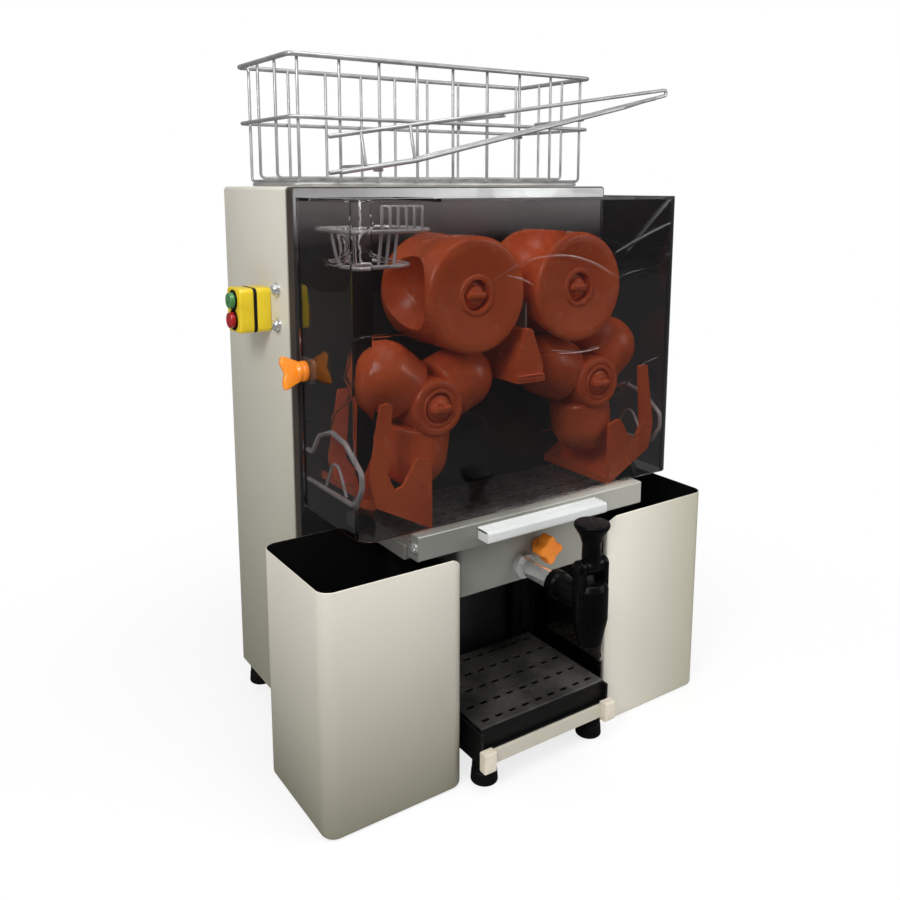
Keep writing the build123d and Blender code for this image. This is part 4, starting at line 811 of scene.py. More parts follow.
# %% Cable gland
gland_x, _, gland_z = middle("cable_gland")
gland_seat = (gland_x, panel_back, gland_z)
gland_cap = bent([(4.2, 1), (4.2, 12), (8, 12), (8, 5.5), (4.2, 5.5)], [0.8, 2.5, 0.4])
make_piece("cable_gland_nut", [six_sided_nut(gland_seat, "y", low=0.0, high=6.0, flat=9.6, corner=11.0),
                               turned(gland_cap, gland_seat, "y")],
           [black_plastic], "machine", ["cable_gland"])

# %% [markdown]
# ## Where cups and balls meet
# The upper drums carry cups and the lower ones balls, three each, that have to meet on the line between
# their axes. Set by eye, they would run out of step. So the first ball's direction is chosen, and the first
# cup's is its mirror image in a plane halfway between the two axes. The right side mirrors the left.

# %% Drum axes and directions
places = ("upper_left", "upper_right", "lower_left", "lower_right")


def drum_axis(place):
    """X and Z of a drum's axis, in millimetres."""
    x, _, z = middle("shaft_" + place)
    return x, z


ball_centre, ball_radius, ball_start, first_ball, peel = 51.0, 33.0, 22.0, 22.0, 5.0
drum_middle, drum_rear, boss_radius = -67.5, -22.0, 16.0
shaft_bore, well_radius, cup_well, ball_well = 9.05, 15.0, 13.0, 6.0
upper_x, upper_z = drum_axis("upper_left")
lower_x, lower_z = drum_axis("lower_left")
cup_centre = np.hypot(upper_x - lower_x, upper_z - lower_z) - ball_centre
cup_radius = ball_radius + peel
mesh_turn = np.degrees(np.arctan2(upper_z - lower_z, upper_x - lower_x))
first_cup = 180 + 2 * mesh_turn - first_ball


def drum_turns(place):
    """Directions of a drum's three cups or balls, in radians; the right side mirrors the left."""
    first = first_cup if place.startswith("upper") else first_ball
    turns = first + np.array([0, 120, 240])
    return np.radians(turns if place.endswith("left") else 180 - turns)


def from_x_to_z(centre_x, centre_z, radius, y, turn):
    """Points about an axis along Y, with turns counted from +X towards +Z."""
    return np.stack([centre_x + radius * np.cos(turn), y, centre_z + radius * np.sin(turn)], axis=-1)


print("axes lie", round(cup_centre + ball_centre, 1), "mm apart, cups are", 2 * cup_radius, "mm wide")

# %% [markdown]
# ## Cup drums
# The two upper drums are moulded barrels with three round cups that each take half an orange. Cutting
# spheres out with a boolean would leave a knife edge and a messy mesh. Here the barrel is a turned
# profile, and where a cup lies, the radius is pulled in to the near side of the cup's sphere: with the
# cup's centre at a distance c and a turn d away, that is c cos d - sqrt(r^2 - y^2 - c^2 sin^2 d). A
# smooth minimum of the two rounds the rim as a mould does.


# %% Upper drums
def smooth_minimum(first, second, blend):
    """The smaller of two values, rounded off where they differ by less than blend."""
    near = np.clip(1 - np.abs(first - second) / blend, 0, None)
    return np.minimum(first, second) - near**2 * blend / 4


def cup_drum(place, columns=420, core=30, rim_blend=3.0):
    """Turned barrel whose radius, outside its core, is drawn in to the near side of three cup spheres."""
    centre_x, centre_z = drum_axis(place)
    low, high = span("drum_" + place)
    front, boss, radius = low[1], high[1], (high[0] - low[0]) / 2
    edge = bent([(boss_radius, boss), (boss_radius, drum_rear), (radius, drum_rear), (radius, front),
                 (46, front), (20, front + 3.4), (18.6, front + 1.9), (well_radius, front + 1.9),
                 (well_radius, front + cup_well), (shaft_bore, front + cup_well), (shaft_bore, boss)],
                [0.8, 5, 5, 1.5, 1.2, 0.8, 0.6, 0.8, 0.4])
    steps = np.linspace(drum_rear - 5, front + 5, 84)[:, None]
    barrel = np.concatenate([np.full_like(steps, radius), steps], axis=1)
    turn_in = np.flatnonzero(np.isclose(edge[:, 0], radius))
    profile = np.concatenate([edge[:turn_in[0]], barrel, edge[turn_in[-1] + 1:]])
    turn = np.linspace(0, 2 * np.pi, columns, endpoint=False)
    r, turn = np.meshgrid(profile[:, 0], turn, indexing="ij")
    y = np.broadcast_to(profile[:, 1:], r.shape)
    for cup in drum_turns(place):
        away = (turn - cup + np.pi) % (2 * np.pi) - np.pi
        inside = cup_radius**2 - (y - drum_middle) ** 2 - (cup_centre * np.sin(away)) ** 2
        facing = (inside > 0) & (np.cos(away) > 0)
        near_side = cup_centre * np.cos(away) - np.sqrt(np.where(facing, inside, 0))
        cup_wall = np.where(facing, near_side, 2 * radius)
        r = np.where(r > core, smooth_minimum(r, cup_wall, rim_blend), r)
    return patch(from_x_to_z(centre_x, centre_z, r, y, turn), close_rows=True, close_columns=True)


for place in places[:2]:
    make_piece("cup_drum_" + place, [cup_drum(place)], [drum_plastic], place + "_drum",
               ["drum_" + place], sharp=50)

# %% [markdown]
# ## Ball drums
# The lower drums press three balls into those cups. Each ball is a dome with a short straight skirt and
# a rounded rim, and three of them stand on a hub with a well for its knob. Spheres could be cut and joined
# to a cylinder, but a profile gives skirt and rim in one go, so all four are turned parts. A ball is
# turned about X first, because that is easy to write down, and then swung to its place.


# %% Lower drums
def swung(surface, turn, centre):
    """A surface about the X axis, swung about Y so that +X points at a turn, and moved to a centre."""
    points, faces, index = surface
    x, y, z = points.T
    moved = np.stack([x * np.cos(turn) - z * np.sin(turn), y, x * np.sin(turn) + z * np.cos(turn)], axis=-1)
    return moved + centre, faces, index


def ball_drum(place):
    """Three domes that point outwards and a hub with a sunken front, all turned."""
    centre_x, centre_z = drum_axis(place)
    low, high = span("drum_" + place)
    front, boss, hub_radius = low[1], high[1], 28.0
    lean = np.linspace(0, np.pi / 2, 28)
    skirt = bent([(0, ball_start), (ball_radius, ball_start), (ball_radius, ball_centre)], 5, steps=8)
    dome = np.stack([ball_radius * np.cos(lean), ball_centre + ball_radius * np.sin(lean)], axis=-1)
    ball = turned(np.concatenate([skirt[:-1], dome]), (0, 0, 0), "x", sides=96)
    balls = [swung(ball, turn, (centre_x, drum_middle, centre_z)) for turn in drum_turns(place)]
    hub = bent([(shaft_bore, boss), (boss_radius, boss), (boss_radius, drum_rear), (hub_radius, drum_rear),
                (hub_radius, front), (21, front), (20.2, front + 1.2), (18.4, front + 1.2), (17.6, front),
                (well_radius, front), (well_radius, front + ball_well), (shaft_bore, front + ball_well)],
               [0.5, 0.8, 0.8, 5, 4.5, 0.3, 0.4, 0.4, 0.3, 0.8, 0.8, 0.4], closed=True)
    return balls + [turned(hub, (centre_x, 0, centre_z), "y", sides=96, closed=True)]


for place in places[2:]:
    make_piece("ball_drum_" + place, ball_drum(place), [drum_plastic], place + "_drum",
               ["drum_" + place])

# %% [markdown]
# ## Knobs that hold the drums
# Each drum is kept on its shaft by a round knob with a wing across it, for fingers. It could be sculpted
# from one cylinder. As two simple shapes that run into each other, both stay smooth: the base is turned,
# and the wing is a plate with an arched outline and soft rims.

# %% Drum knobs
knob_radius, knob_base, wing_half, wing_thick = 13.0, 5.0, 11.0, 6.0
for place in places:
    knob_low, knob_high = span("drum_knob_" + place)
    knob_x, knob_z = drum_axis(place)
    knob_front, knob_back = knob_low[1], knob_high[1]
    rim = knob_back - knob_base
    dish = bent([(0, knob_back), (knob_radius, knob_back), (knob_radius, rim), (10, rim), (8, rim - 4.4),
                 (0, rim - 5.2)], [0.5, 2.2, 2.0, 1.5])
    arch = bent([(knob_x - wing_half, knob_back - 1), (knob_x - wing_half, knob_front),
                 (knob_x + wing_half, knob_front), (knob_x + wing_half, knob_back - 1)], 5.5)
    wing = cut_plate(arch, "z", knob_z - wing_thick / 2, knob_z + wing_thick / 2, 1.4)
    make_piece("holding_knob_" + place, [turned(dish, (knob_x, 0, knob_z), "y"), wing], [drum_plastic],
               place + "_knob", ["drum_knob_" + place])

# %% [markdown]
# ## The wire basket
# Fruit waits in a basket of welded chrome wire: three closed rings, nine wires bent like a U across
# and two along. Curves with a bevel would work, but a tube worked out along a bent path gives full
# control of the bend and of the domed ends.

# %% Fruit basket
thin_wire, wire, rim_wire, weld, middle_rise = 1.5, 2.0, 2.5, 0.05, 64.0


def level_ring(low, high, z, radius, corner):
    """A closed level ring of wire on a rounded rectangle."""
    outline = rounded_rectangle(low, high, corner)
    return tube(on_plane(outline, "z", z), radius, UP, closed=True)


basket_low, basket_high = span("fruit_basket")
rim_low, rim_high = basket_low[:2] + rim_wire, basket_high[:2] - rim_wire
basket_rim, basket_base = basket_high[2] - rim_wire, basket_low[2] + wire
basket_middle = basket_base + middle_rise
wire_bend, ring_corner = 3 * thin_wire, 6.0
inset = rim_wire + thin_wire + weld
basket = [level_ring(rim_low, rim_high, basket_rim, rim_wire, ring_corner)]
for step, z in ((inset + wire_bend, basket_base), (rim_wire - wire, basket_middle)):
    basket.append(level_ring(rim_low + step, rim_high - step, z, wire, ring_corner))
floor = basket_base + wire + thin_wire + weld
front, back = rim_low[1] + inset, rim_high[1] - inset
column_reach = rim_high[0] - inset - ring_corner
for x in np.linspace(-column_reach, column_reach, 9):
    route = [(x, front, basket_rim), (x, front, floor), (x, back, floor), (x, back, basket_rim)]
    basket.append(tube(bent(route, wire_bend), thin_wire, ACROSS))
upper_floor, reach = floor + 2 * thin_wire + weld, rim_high[0] - inset
for y in np.linspace(rim_low[1], rim_high[1], 4)[1:-1]:
    route = [(-reach, y, basket_rim), (-reach, y, upper_floor), (reach, y, upper_floor),
             (reach, y, basket_rim)]
    basket.append(tube(bent(route, wire_bend), thin_wire, AHEAD))
make_piece("basket_wires", basket, [bright_wire], "basket", ["fruit_basket"])

# %% [markdown]
# ## The feed ramp
# Oranges roll down two sloping rails towards the chute. The rear rail turns back on itself at its tip
# and becomes the guard rail. The front rail bends in to meet it. Slanted struts and short ties hold
# them together, and two hooked stays and a straight one join them to the basket. Drawn by hand, the wires
# would miss each other. Here one function gives the rails' height, and all the rest start from it.

# %% Rails of the feed ramp
hood_high = span("hood")[1]
ramp_low, ramp_left, ramp_right, first_run = hood_high[2] + 22, -188.0, 238.0, 82.0
low_slope, high_slope = np.tan(np.radians([8.2, 12.8]))
kink, kink_z = ramp_left + first_run, ramp_low + first_run * low_slope
rear, front = -56.0, -72.0
guard_rise, tip_rise = 32.0, 6.0


def ramp_height(x):
    """Height of the ramp's rails at an x, on two straight runs that meet at the kink."""
    return kink_z + (x - kink) * (high_slope if x > kink else low_slope)


tip = ramp_height(ramp_right)
guard_low = ramp_low + guard_rise
guard_slope = (tip + tip_rise - guard_low) / (ramp_right - ramp_left)
rear_rail = [(ramp_left, rear, ramp_low), (kink, rear, kink_z), (ramp_right, rear, tip),
             (ramp_right, rear, tip + tip_rise), (ramp_left, rear, guard_low)]
beside, turn_in = rear - 2 * wire - weld, ramp_right - 80
front_rail = [(x, y, ramp_height(x)) for x, y in ((ramp_left + 4, front), (kink, front), (turn_in, front),
                                                  (turn_in + 40, beside), (ramp_right - 20, beside))]
ramp = [tube(bent(rear_rail, [30, 2.5, 2.5], steps=8), wire, AHEAD),
        tube(bent(front_rail, 80 / 3), wire, UP)]
print("the ramp rises by", round(tip - ramp_low, 1), "mm")

# %% Struts, ties and stays of the feed ramp
strut_runs, tie_runs, hook_drop = (31, 83), (46, 206), 10.0
touch = wire + thin_wire + weld
aside = touch / np.cos(np.arctan2(rear - front - 2 * touch, guard_rise))
for along in strut_runs:
    x = ramp_left + along
    top = guard_low + guard_slope * along
    ramp.append(tube([(x, front + aside, ramp_height(x)), (x, rear - aside, top)], thin_wire, ACROSS))
for along in tie_runs:
    x = ramp_left + along
    z = ramp_height(x) - touch
    ramp.append(tube([(x, front, z), (x, rear, z)], thin_wire, ACROSS))
hook = basket_middle + touch
catch = rim_low[1] + rim_wire - wire + touch
for x in (kink + (hook + touch - kink_z) / high_slope, ramp_left + (hook + touch - guard_low) / guard_slope):
    route = [(x, rear - wire, hook), (x, catch, hook), (x, catch, hook - hook_drop)]
    ramp.append(tube(bent(route, 2 * thin_wire), thin_wire, ACROSS))
x = -column_reach + column_reach / 4
ramp.append(tube([(x, rear + wire, ramp_height(x)), (x, rim_low[1] + rim_wire, ramp_height(x))],
                 thin_wire, ACROSS))
make_piece("ramp_wires", ramp, [bright_wire], "basket", ["feed_ramp"])

# %% [markdown]
# ## The feed chute
# Inside the hood a wire cage holds the next orange over the left drum: a wide ring, a smaller hoop
# below it, slanted ties between them, a comb in front and two arms to the plate. The rings could be tori,
# but real ones are rounded rectangles bent from wire, so the basket's ring function makes them.

# %% Feed chute
chute_low, chute_high = span("feed_chute")
chute_rear, ring_drop, hoop_drop, ring_bend, hoop_bend = -12.0, 29.0, 32.0, 30.0, 24.0
hoop_inset, hoop_short, comb_reach, comb_wires = 8.0, 20.0, 72.0, 6
ring_low = chute_low[:2] + wire
ring_high = np.array([chute_high[0] - wire, chute_rear])
ring_z = hood_high[2] - ring_drop
hoop_low, hoop_high = ring_low + hoop_inset, ring_high - (hoop_short, hoop_inset)
hoop_z = ring_z - hoop_drop
chute = [level_ring(ring_low, ring_high, ring_z, wire, ring_bend),
         level_ring(hoop_low, hoop_high, hoop_z, wire, hoop_bend)]
high, low = ring_z + wire, hoop_z - wire
for x in np.linspace(hoop_low[0] + hoop_bend, hoop_high[0] - hoop_bend, 3):
    for side, ring_y, hoop_y in ((1, ring_low[1], hoop_low[1]), (-1, ring_high[1], hoop_high[1])):
        route = [(x, ring_y + side * touch, high), (x, hoop_y + side * touch, low)]
        chute.append(tube(route, thin_wire, ACROSS))
halfway = (ring_low[1] + ring_high[1]) / 2
route = [(ring_low[0] + touch, halfway, high), (hoop_low[0] + touch, halfway, low)]
chute.append(tube(route, thin_wire, AHEAD))
comb = np.linspace(ring_low[0] + ring_bend, ring_low[0] + comb_reach, comb_wires)
for x in comb:
    chute.append(tube([(x, ring_low[1], high + weld), (x, ring_low[1], chute_high[2])], thin_wire, ACROSS))
tie = (ring_low[1] + 2 * thin_wire + weld, chute_high[2] - thin_wire)
chute.append(tube([(comb[0], *tie), (comb[-1], *tie)], thin_wire, UP))
for x in (comb[0], ring_high[0] - ring_bend):
    chute.append(tube([(x, ring_high[1] + wire, ring_z), (x, 0, ring_z)], wire, UP))
make_piece("chute_wires", chute, [wire_painted_light], "machine", ["feed_chute"])

# %% [markdown]
# ## Peel guards
# On each side, over the bin, a chrome wire arches from the plate to the front so that peel falls
# inside. A lighter wire is bent to a peak within it. A bevelled curve would do, but a bending tool makes
# every bend with one radius, and so does this path. The right side mirrors the left.

# %% Peel guards
guard_wire = 2.5
guard_x, guard_front, guard_base = span("peel_guards")[0] + guard_wire
rear_high, guard_top, guard_bend = guard_base + 30, guard_base + 60, 10.0
loop = [(0, rear_high), (1 / 9, rear_high), (1 / 4, guard_top - guard_bend), (1 / 2, guard_top),
        (3 / 4, guard_top - guard_bend / 2), (1, rear_high + guard_bend / 2),
        (1, guard_base + 2 * guard_bend), (7 / 8, guard_base), (0, guard_base)]
foot = guard_base + guard_wire + thin_wire + weld
peak = [(3 / 8, foot), (9 / 16, rear_high + guard_bend), (3 / 4, foot)]
guards = []
for side in (1, -1):
    for line, radius in ((loop, guard_wire), (peak, thin_wire)):
        route = bent([(side * guard_x, share * guard_front, z) for share, z in line], guard_bend)
        guards.append(tube(route, radius, ACROSS))
make_piece("guard_wires", guards, [wire_painted_light], "machine", ["peel_guards"])

# %% [markdown]
# ## Peel bins
# The bins are pale sheet outside and dark inside. A box with an inset floor would have sharp folds. Each is
# lofted instead: a rounded rectangle is carried up the outside, over a rolled rim and down the inside, a
# little smaller at each step where a corner is rounded. The wall beside the tank is lower, with a rounded
# shoulder, so that the drawer clears it.

# %% Peel bins
bin_wall, bin_corner, bin_edge, shoulder = 1.5, 14.0, 5.0, 20.0
roll, inner_edge = bin_wall / 2, bin_edge - bin_wall
lean = np.linspace(0, np.pi / 2, 6)


def peel_bin(node):
    """Rounded rectangles carried up the outside, over the rim and down the inside, with two floors. Near
    the tank the rim drops along a quarter circle. A level is an inset, a height and its share of the drop."""
    low, high = span(node)
    top = high[2]
    tank_side = low[0] if low[0] > 0 else high[0]
    outline = rounded_rectangle(low[:2], high[:2], bin_corner, steps=14)
    into = np.clip(shoulder - np.abs(outline[:, 0] - tank_side), 0, shoulder)
    drop = shoulder - np.sqrt(shoulder**2 - into**2)
    outside = [(bin_edge * (1 - np.sin(a)), bin_edge * (1 - np.cos(a)), 0) for a in lean]
    outside += [(0.0, top - roll, 1)]
    rim = [(roll * (1 - np.cos(a)), top - roll + roll * np.sin(a), 1) for a in lean[1:]]
    inner_rim = [(bin_wall - roll * (1 - np.sin(a)), top - roll * (1 - np.cos(a)), 1) for a in lean]
    inside = [(bin_wall + inner_edge * (1 - np.cos(a)), bin_wall + inner_edge * (1 - np.sin(a)), 0)
              for a in lean]

    def rows(levels):
        """The outline at each level: set in, raised, and lowered by its share of the drop."""
        return np.stack([on_plane(grown(outline, -i), "z", z) - drop[:, None] * share * UP
                         for i, z, share in levels])

    skin, liner = rows(outside + rim), rows([rim[-1]] + inner_rim + inside)
    skin_patch = patch(skin, close_columns=True)
    liner_patch = patch(liner, close_columns=True, finish_index=1)
    columns = len(outline)
    skin_patch[1].append(list(range(columns)))
    liner_patch[1].append(list(range((len(liner) - 1) * columns, len(liner) * columns)))
    return [skin_patch, liner_patch]


for side, steel in (("left", left_bin_painted_shade), ("right", right_bin_painted_light_and_shade)):
    make_piece("bin_" + side, peel_bin("peel_bin_" + side), [steel, matt_black], side + "_bin",
               ["peel_bin_" + side])

# %% [markdown]
# ## Wing knobs beside the hood
# An orange wing knob on each side clamps the hood. Its hub is turned with a stepped collar. The wing could
# be two flattened cones, but the real one is moulded flat with a waist, wider at both tips, so it is a
# plate cut to that outline and then tilted.


# %% Side knobs
def wing_knob(side):
    """Turned hub and a waisted wing, which is turned about X by its tilt; side is -1 on the left and 1 on
    the right."""
    low, high = span("side_knob_left")
    _, y, z = middle("side_knob_left")
    inner, tip = -high[0], -low[0]
    hub = bent([(3.1, inner), (10, inner), (10, inner + 4), (9.2, inner + 4.8), (9.2, inner + 8),
                (7.5, inner + 11), (0, inner + 11.5)], [0.4, 0.8, 0.4, 0.6, 1.0])
    hub[:, 1] *= side
    root, half, thick, tilt = inner + 4.9, 17.0, 7.0, radians(17)
    wing = bent([(root, z - 9), (tip - 2, z - half), (tip, z - half + 7), (tip - 3.5, z), (tip, z + half - 7),
                 (tip - 2, z + half), (root, z + 9)], [2, 6, 2, 2, 2])
    wing = np.stack([side * wing[:, 0], wing[:, 1]], axis=-1)
    points, faces, index = cut_plate(wing, "y", y - thick / 2, y + thick / 2, 1.6)
    back, up = points[:, 1] - y, points[:, 2] - z
    leaned = np.stack([points[:, 0], y + back * np.cos(tilt) + up * np.sin(tilt),
                       z - back * np.sin(tilt) + up * np.cos(tilt)], axis=-1)
    return [turned(hub, (0, y, z), "x"), (leaned, faces, index)]


for side, word in ((-1, "left"), (1, "right")):
    make_piece("hood_knob_" + word, wing_knob(side), [knob_plastic], word + "_side_knob",
               ["side_knob_" + word])

# %% [markdown]
# ## Outlet pipe and lock nut
# A chromed tube runs from the tank to the tap, with a six-sided nut against the tank. A cylinder would
# have no bore for the juice. So the tube is a closed profile, outside and bore, turned about its axis.

# %% Outlet pipe
pipe_low, pipe_high = span("outlet_pipe")
tap_low = span("tap_body")[0]
tank_face = span("juice_tank")[0][1]
pipe_x, pipe_z = middle("tap_body")[0], middle("outlet_pipe")[2]
pipe_seat = (pipe_x, 0, pipe_z)
pipe_bore, pipe_radius, pipe_near, pipe_far = 7, 9, pipe_low[1], pipe_high[1]
pipe_wall = bent([(pipe_bore, pipe_far), (pipe_radius, pipe_far), (pipe_radius, pipe_near),
                  (pipe_bore, pipe_near)], 0.5, closed=True)
make_piece("outlet_tube", [turned(pipe_wall, pipe_seat, "y", closed=True),
                           six_sided_nut(pipe_seat, "y", tank_face - 7, tank_face, flat=12.1, corner=13.8)],
           [chromed_steel], "machine", ["outlet_pipe"])

# %% [markdown]
# ## The tap
# A black tap closes the pipe. It could be carved from blocks, but nearly all of it is round: the upright
# body and the inlet barrel are turned, and only the two cheeks that carry the pin are plates.

# %% Tap body
tap_y = tap_low[1] + 17
lever_low, lever_high = span("tap_lever")
pivot = (pipe_x, tap_y, lever_low[2] + 8)
pivot_z = pivot[2]
spout_z = tap_low[2]
body_profile = bent([(0, spout_z + 14), (8, spout_z + 14), (8, spout_z), (12, spout_z), (13, spout_z + 6),
                     (16.2, spout_z + 22), (17, spout_z + 26), (17, spout_z + 56), (14, spout_z + 62),
                     (0, spout_z + 63)], [0.5, 0.6, 0.8, 3, 4, 2, 2, 3])
barrel_profile = bent([(9.1, tap_y + 30), (9.1, pipe_low[1] + 7), (14, pipe_low[1] + 7),
                       (14, pipe_low[1] - 2), (12.4, pipe_low[1] - 4), (12.4, tap_y + 10), (9.1, tap_y + 10)],
                      [0.4, 0.9, 0.8, 0.8, 0.6])
cheek = bent([(tap_y - 8, spout_z + 30), (tap_y + 8, spout_z + 30), (tap_y + 8, pivot_z + 8),
              (tap_y - 8, pivot_z + 8)], [1, 1, 7.6, 7.6], closed=True)
tap = [turned(body_profile, (pipe_x, tap_y, 0), "z"),
       turned(barrel_profile, (pipe_x, 0, pipe_z), "y", closed=True)]
pin_cap = bent([(0, 0), (6, 0), (6, 2.2), (0, 2.8)], [0.3, 1.2]) + (0, 15.9)
for side in (-1, 1):
    near, far = sorted((pipe_x + side * 11, pipe_x + side * 16))
    tap += [cut_plate(cheek, "x", near, far, 1.0), turned(pin_cap * (1, side), pivot, "x", sides=32)]
tap.append(turned([(0, -12), (2.9, -12), (2.9, 12), (0, 12)], pivot, "x", sides=24))
make_piece("tap_barrel", tap, [black_plastic], "machine", ["tap_body"])

# %% [markdown]
# ## The tap's lever
# A flared handle flips forward on the pin. It swells towards its top, as a thumb expects. A scaled cone
# would have a hard waist, so its profile is bent with wide radii and turned, and a bored boss sits on the
# pin.

# %% Tap lever
lever_top = lever_high[2]
lever_profile = bent([(0, pivot_z - 4), (8.4, pivot_z - 2), (9, pivot_z + 10), (8.6, pivot_z + 22),
                      (11.5, pivot_z + 30), (16.4, lever_top - 5), (17, lever_top - 3.5),
                      (16.5, lever_top - 0.8), (0, lever_top)], [3, 6, 8, 10, 2, 1, 1.4])
boss = bent([(3.05, -10.4), (8, -10.4), (8, 10.4), (3.05, 10.4)], 0.6, closed=True)
make_piece("tap_handle_grip", [turned(lever_profile, (pipe_x, tap_y, 0), "z"),
                               turned(boss, pivot, "x", closed=True)],
           [black_plastic], "tap_handle", ["tap_lever"])

# %% [markdown]
# ## The clamp knob on the tank
# A bright orange star knob holds the tank. Its outline could be drawn as a curve with many handles. A
# circle whose radius rises and falls with the cosine of four turns gives the same soft lobes in one line,
# and the rims are rounded.

# %% Clamp knob
clamp_front = span("tank_clamp_knob")[0][1]
clamp_x, clamp_z = middle("tank_clamp_knob")[0], 222.0
clamp_seat = (clamp_x, 0, clamp_z)
lobe_middle, lobe_swell, lobes = 12.4, 2.5, 4
lobe_turn = np.linspace(0, 2 * np.pi, 120, endpoint=False)
lobe_radius = lobe_middle + lobe_swell * np.cos(lobes * (lobe_turn - np.pi / 2))
star = np.stack([clamp_x + lobe_radius * np.cos(lobe_turn), clamp_z + lobe_radius * np.sin(lobe_turn)],
                axis=-1)
collar = bent([(0, tank_face + 1.5), (4, tank_face + 1.5), (4, tank_face - 0.3), (8, tank_face - 0.3),
               (8, clamp_front + 14), (0, clamp_front + 14)], [0.4, 0.2, 0.8, 0.4])
hub = bent([(0, clamp_front + 2), (5, clamp_front + 2), (5, clamp_front + 0.2), (0, clamp_front + 0.2)], 0.5)
make_piece("clamp_star_knob", [cut_plate(star, "y", clamp_front + 0.6, clamp_front + 16, 2.2, steps=5),
                               turned(collar, clamp_seat, "y"), turned(hub, clamp_seat, "y", sides=32)],
           [knob_plastic], "clamp_knob", ["tank_clamp_knob"])

# %% [markdown]
# ## The drawer's white grip
# The pull along the drawer is an extrusion: one ridged profile carried across. Half cylinders side by side
# would leave sharp valleys. A row of cosine waves along the top is soft all over, so that wet fingers hold
# it, and the ends are cut with a soft rim. Two screws show at the ends of the drawer's bar.

# %% Drawer grip
grip_low, grip_high = span("drawer_grip")
nose_depth, ridge_depth, ridge_count = 3.0, 2.2, 3.5
ridge_y = np.linspace(grip_low[1] + nose_depth, grip_high[1], 60)
ridge_turn = 2 * np.pi * ridge_count * (ridge_y - grip_high[1]) / (grip_high[1] - grip_low[1])
waves = 0.5 - 0.5 * np.cos(ridge_turn)
ridges = np.stack([ridge_y, grip_high[2] - ridge_depth * waves], axis=-1)[::-1]
nose = bent([(grip_low[1] + nose_depth, ridges[-1, 1]), (grip_low[1], grip_high[2] - 2.5),
             (grip_low[1], grip_low[2]), (grip_high[1], grip_low[2])], [1.0, 3.0])
grip_outline = np.concatenate([ridges[:-1], nose])
make_piece("ridged_grip", [cut_plate(grip_outline, "x", grip_low[0], grip_high[0], 0.8)], [grip_white],
           "drawer", ["drawer_grip"])

# %% Screws on the drawer's bar
frame_low, frame_high = span("filter_frame")
bar_inset = 6.5
bar_middle = (frame_low[1] + bar_inset, (frame_low[2] + frame_high[2]) / 2)
bar_screws = [screw_head((x, *bar_middle), "x", side, radius=5.0, height=2.6)
              for x, side in ((frame_low[0], -1), (frame_high[0], 1))]
make_piece("drawer_bar_screws", bar_screws, [chromed_steel], "drawer")

# %% [markdown]
# ## Switch box
# A yellow box on the cabinet's side holds a green and a red button. Bevelled cubes would do, but a bevel
# gives corners and rims one radius. Base, cover and seal are plates instead, each cut to a rounded
# rectangle with soft rims. The buttons are round, so they and the dark bezels around them are turned.

# %% Switch box and seal
box_low, box_high = span("switch_box")
seal_low, seal_high = span("switch_gasket")
box_corner = 5.0
box_outline = rounded_rectangle(box_low[1:], box_high[1:], box_corner)
make_piece("switch_housing", [cut_plate(box_outline, "x", seal_high[0], box_high[0], 1.0),
                              cut_plate(box_outline, "x", box_low[0], seal_low[0], 1.6)],
           [box_yellow], "machine", ["switch_box"])
seal_outline = rounded_rectangle(seal_low[1:], seal_high[1:], box_corner)
make_piece("switch_seal", [cut_plate(seal_outline, "x", seal_low[0], seal_high[0], 0.4)], [matt_black],
           "machine", ["switch_gasket"])

# %% Buttons and bezels
button_radius, bezels = 8.0, []
for button, material, slot in (("start", start_green, "green_plastic"), ("stop", stop_red, "red_plastic")):
    low, high = span(button + "_button")
    seat = middle(button + "_button") * (AHEAD + UP)
    cap = bent([(0, high[0]), (button_radius, high[0]), (button_radius, low[0]), (6.4, low[0]),
                (0, low[0] + 0.9)], [0.4, 1.4, 0.6])
    make_piece(button + "_cap", [turned(cap, seat, "x")], [material], button, [button + "_button"])
    ring = bent([(8.45, box_low[0] + 1), (8.45, box_low[0] - 1.4), (10.6, box_low[0] - 1.0),
                 (10.8, box_low[0] + 1)], 0.3, closed=True)
    bezels.append(turned(ring, seat, "x", closed=True))
make_piece("button_bezels", bezels, [black_plastic], "machine")

# %% [markdown]
# ## Finishing the solids that are right already
# Flat and hidden pieces keep their solids, as working them out anew would gain nothing. Each one gets its
# finish.

# %% Finishes for the solids
solid_finishes = {
    hood_acrylic: ["hood"],
    plate_painted_shade_and_reflection: ["front_plate"],
    brushed_steel_painted_light: ["juice_tank", "filter_frame", "drawer_runners", "hood_tabs", "knife_blade"],
    satin_sheet: ["back_panel", "cabinet_floor"],
    satin_strip: ["front_rail"],
    matt_black: ["front_base", "drip_tray"],
    dark_steel: ["drip_grille"],
    screen_steel: ["filter_screen"],
    drum_plastic: ["knife_holder", "peel_ejector_left", "peel_ejector_right"],
    turned_steel: ["shaft_" + place for place in places],
    oiled_gear: ["gear_plate", "plate_standoffs", "motor_pinion"] + ["gear_" + place for place in places],
    bearing_bronze: ["shaft_bearings"],
    motor_paint: ["gearmotor"],
}
for material, names in solid_finishes.items():
    for name in names:
        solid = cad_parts[name]
        solid.data.materials.clear()
        solid.data.materials.append(material)
print("finished solids:", sum(len(names) for names in solid_finishes.values()))

# %% [markdown]
# ## Soft edges
# The solids' edges came out perfectly sharp, which never happens in metal, acrylic or moulded plastic.
# Rounding could be cut into the meshes, but those stay as they are. So modifiers do it: the loose triangles
# are welded, and a small bevel rounds every edge that turns by more than 40 degrees.

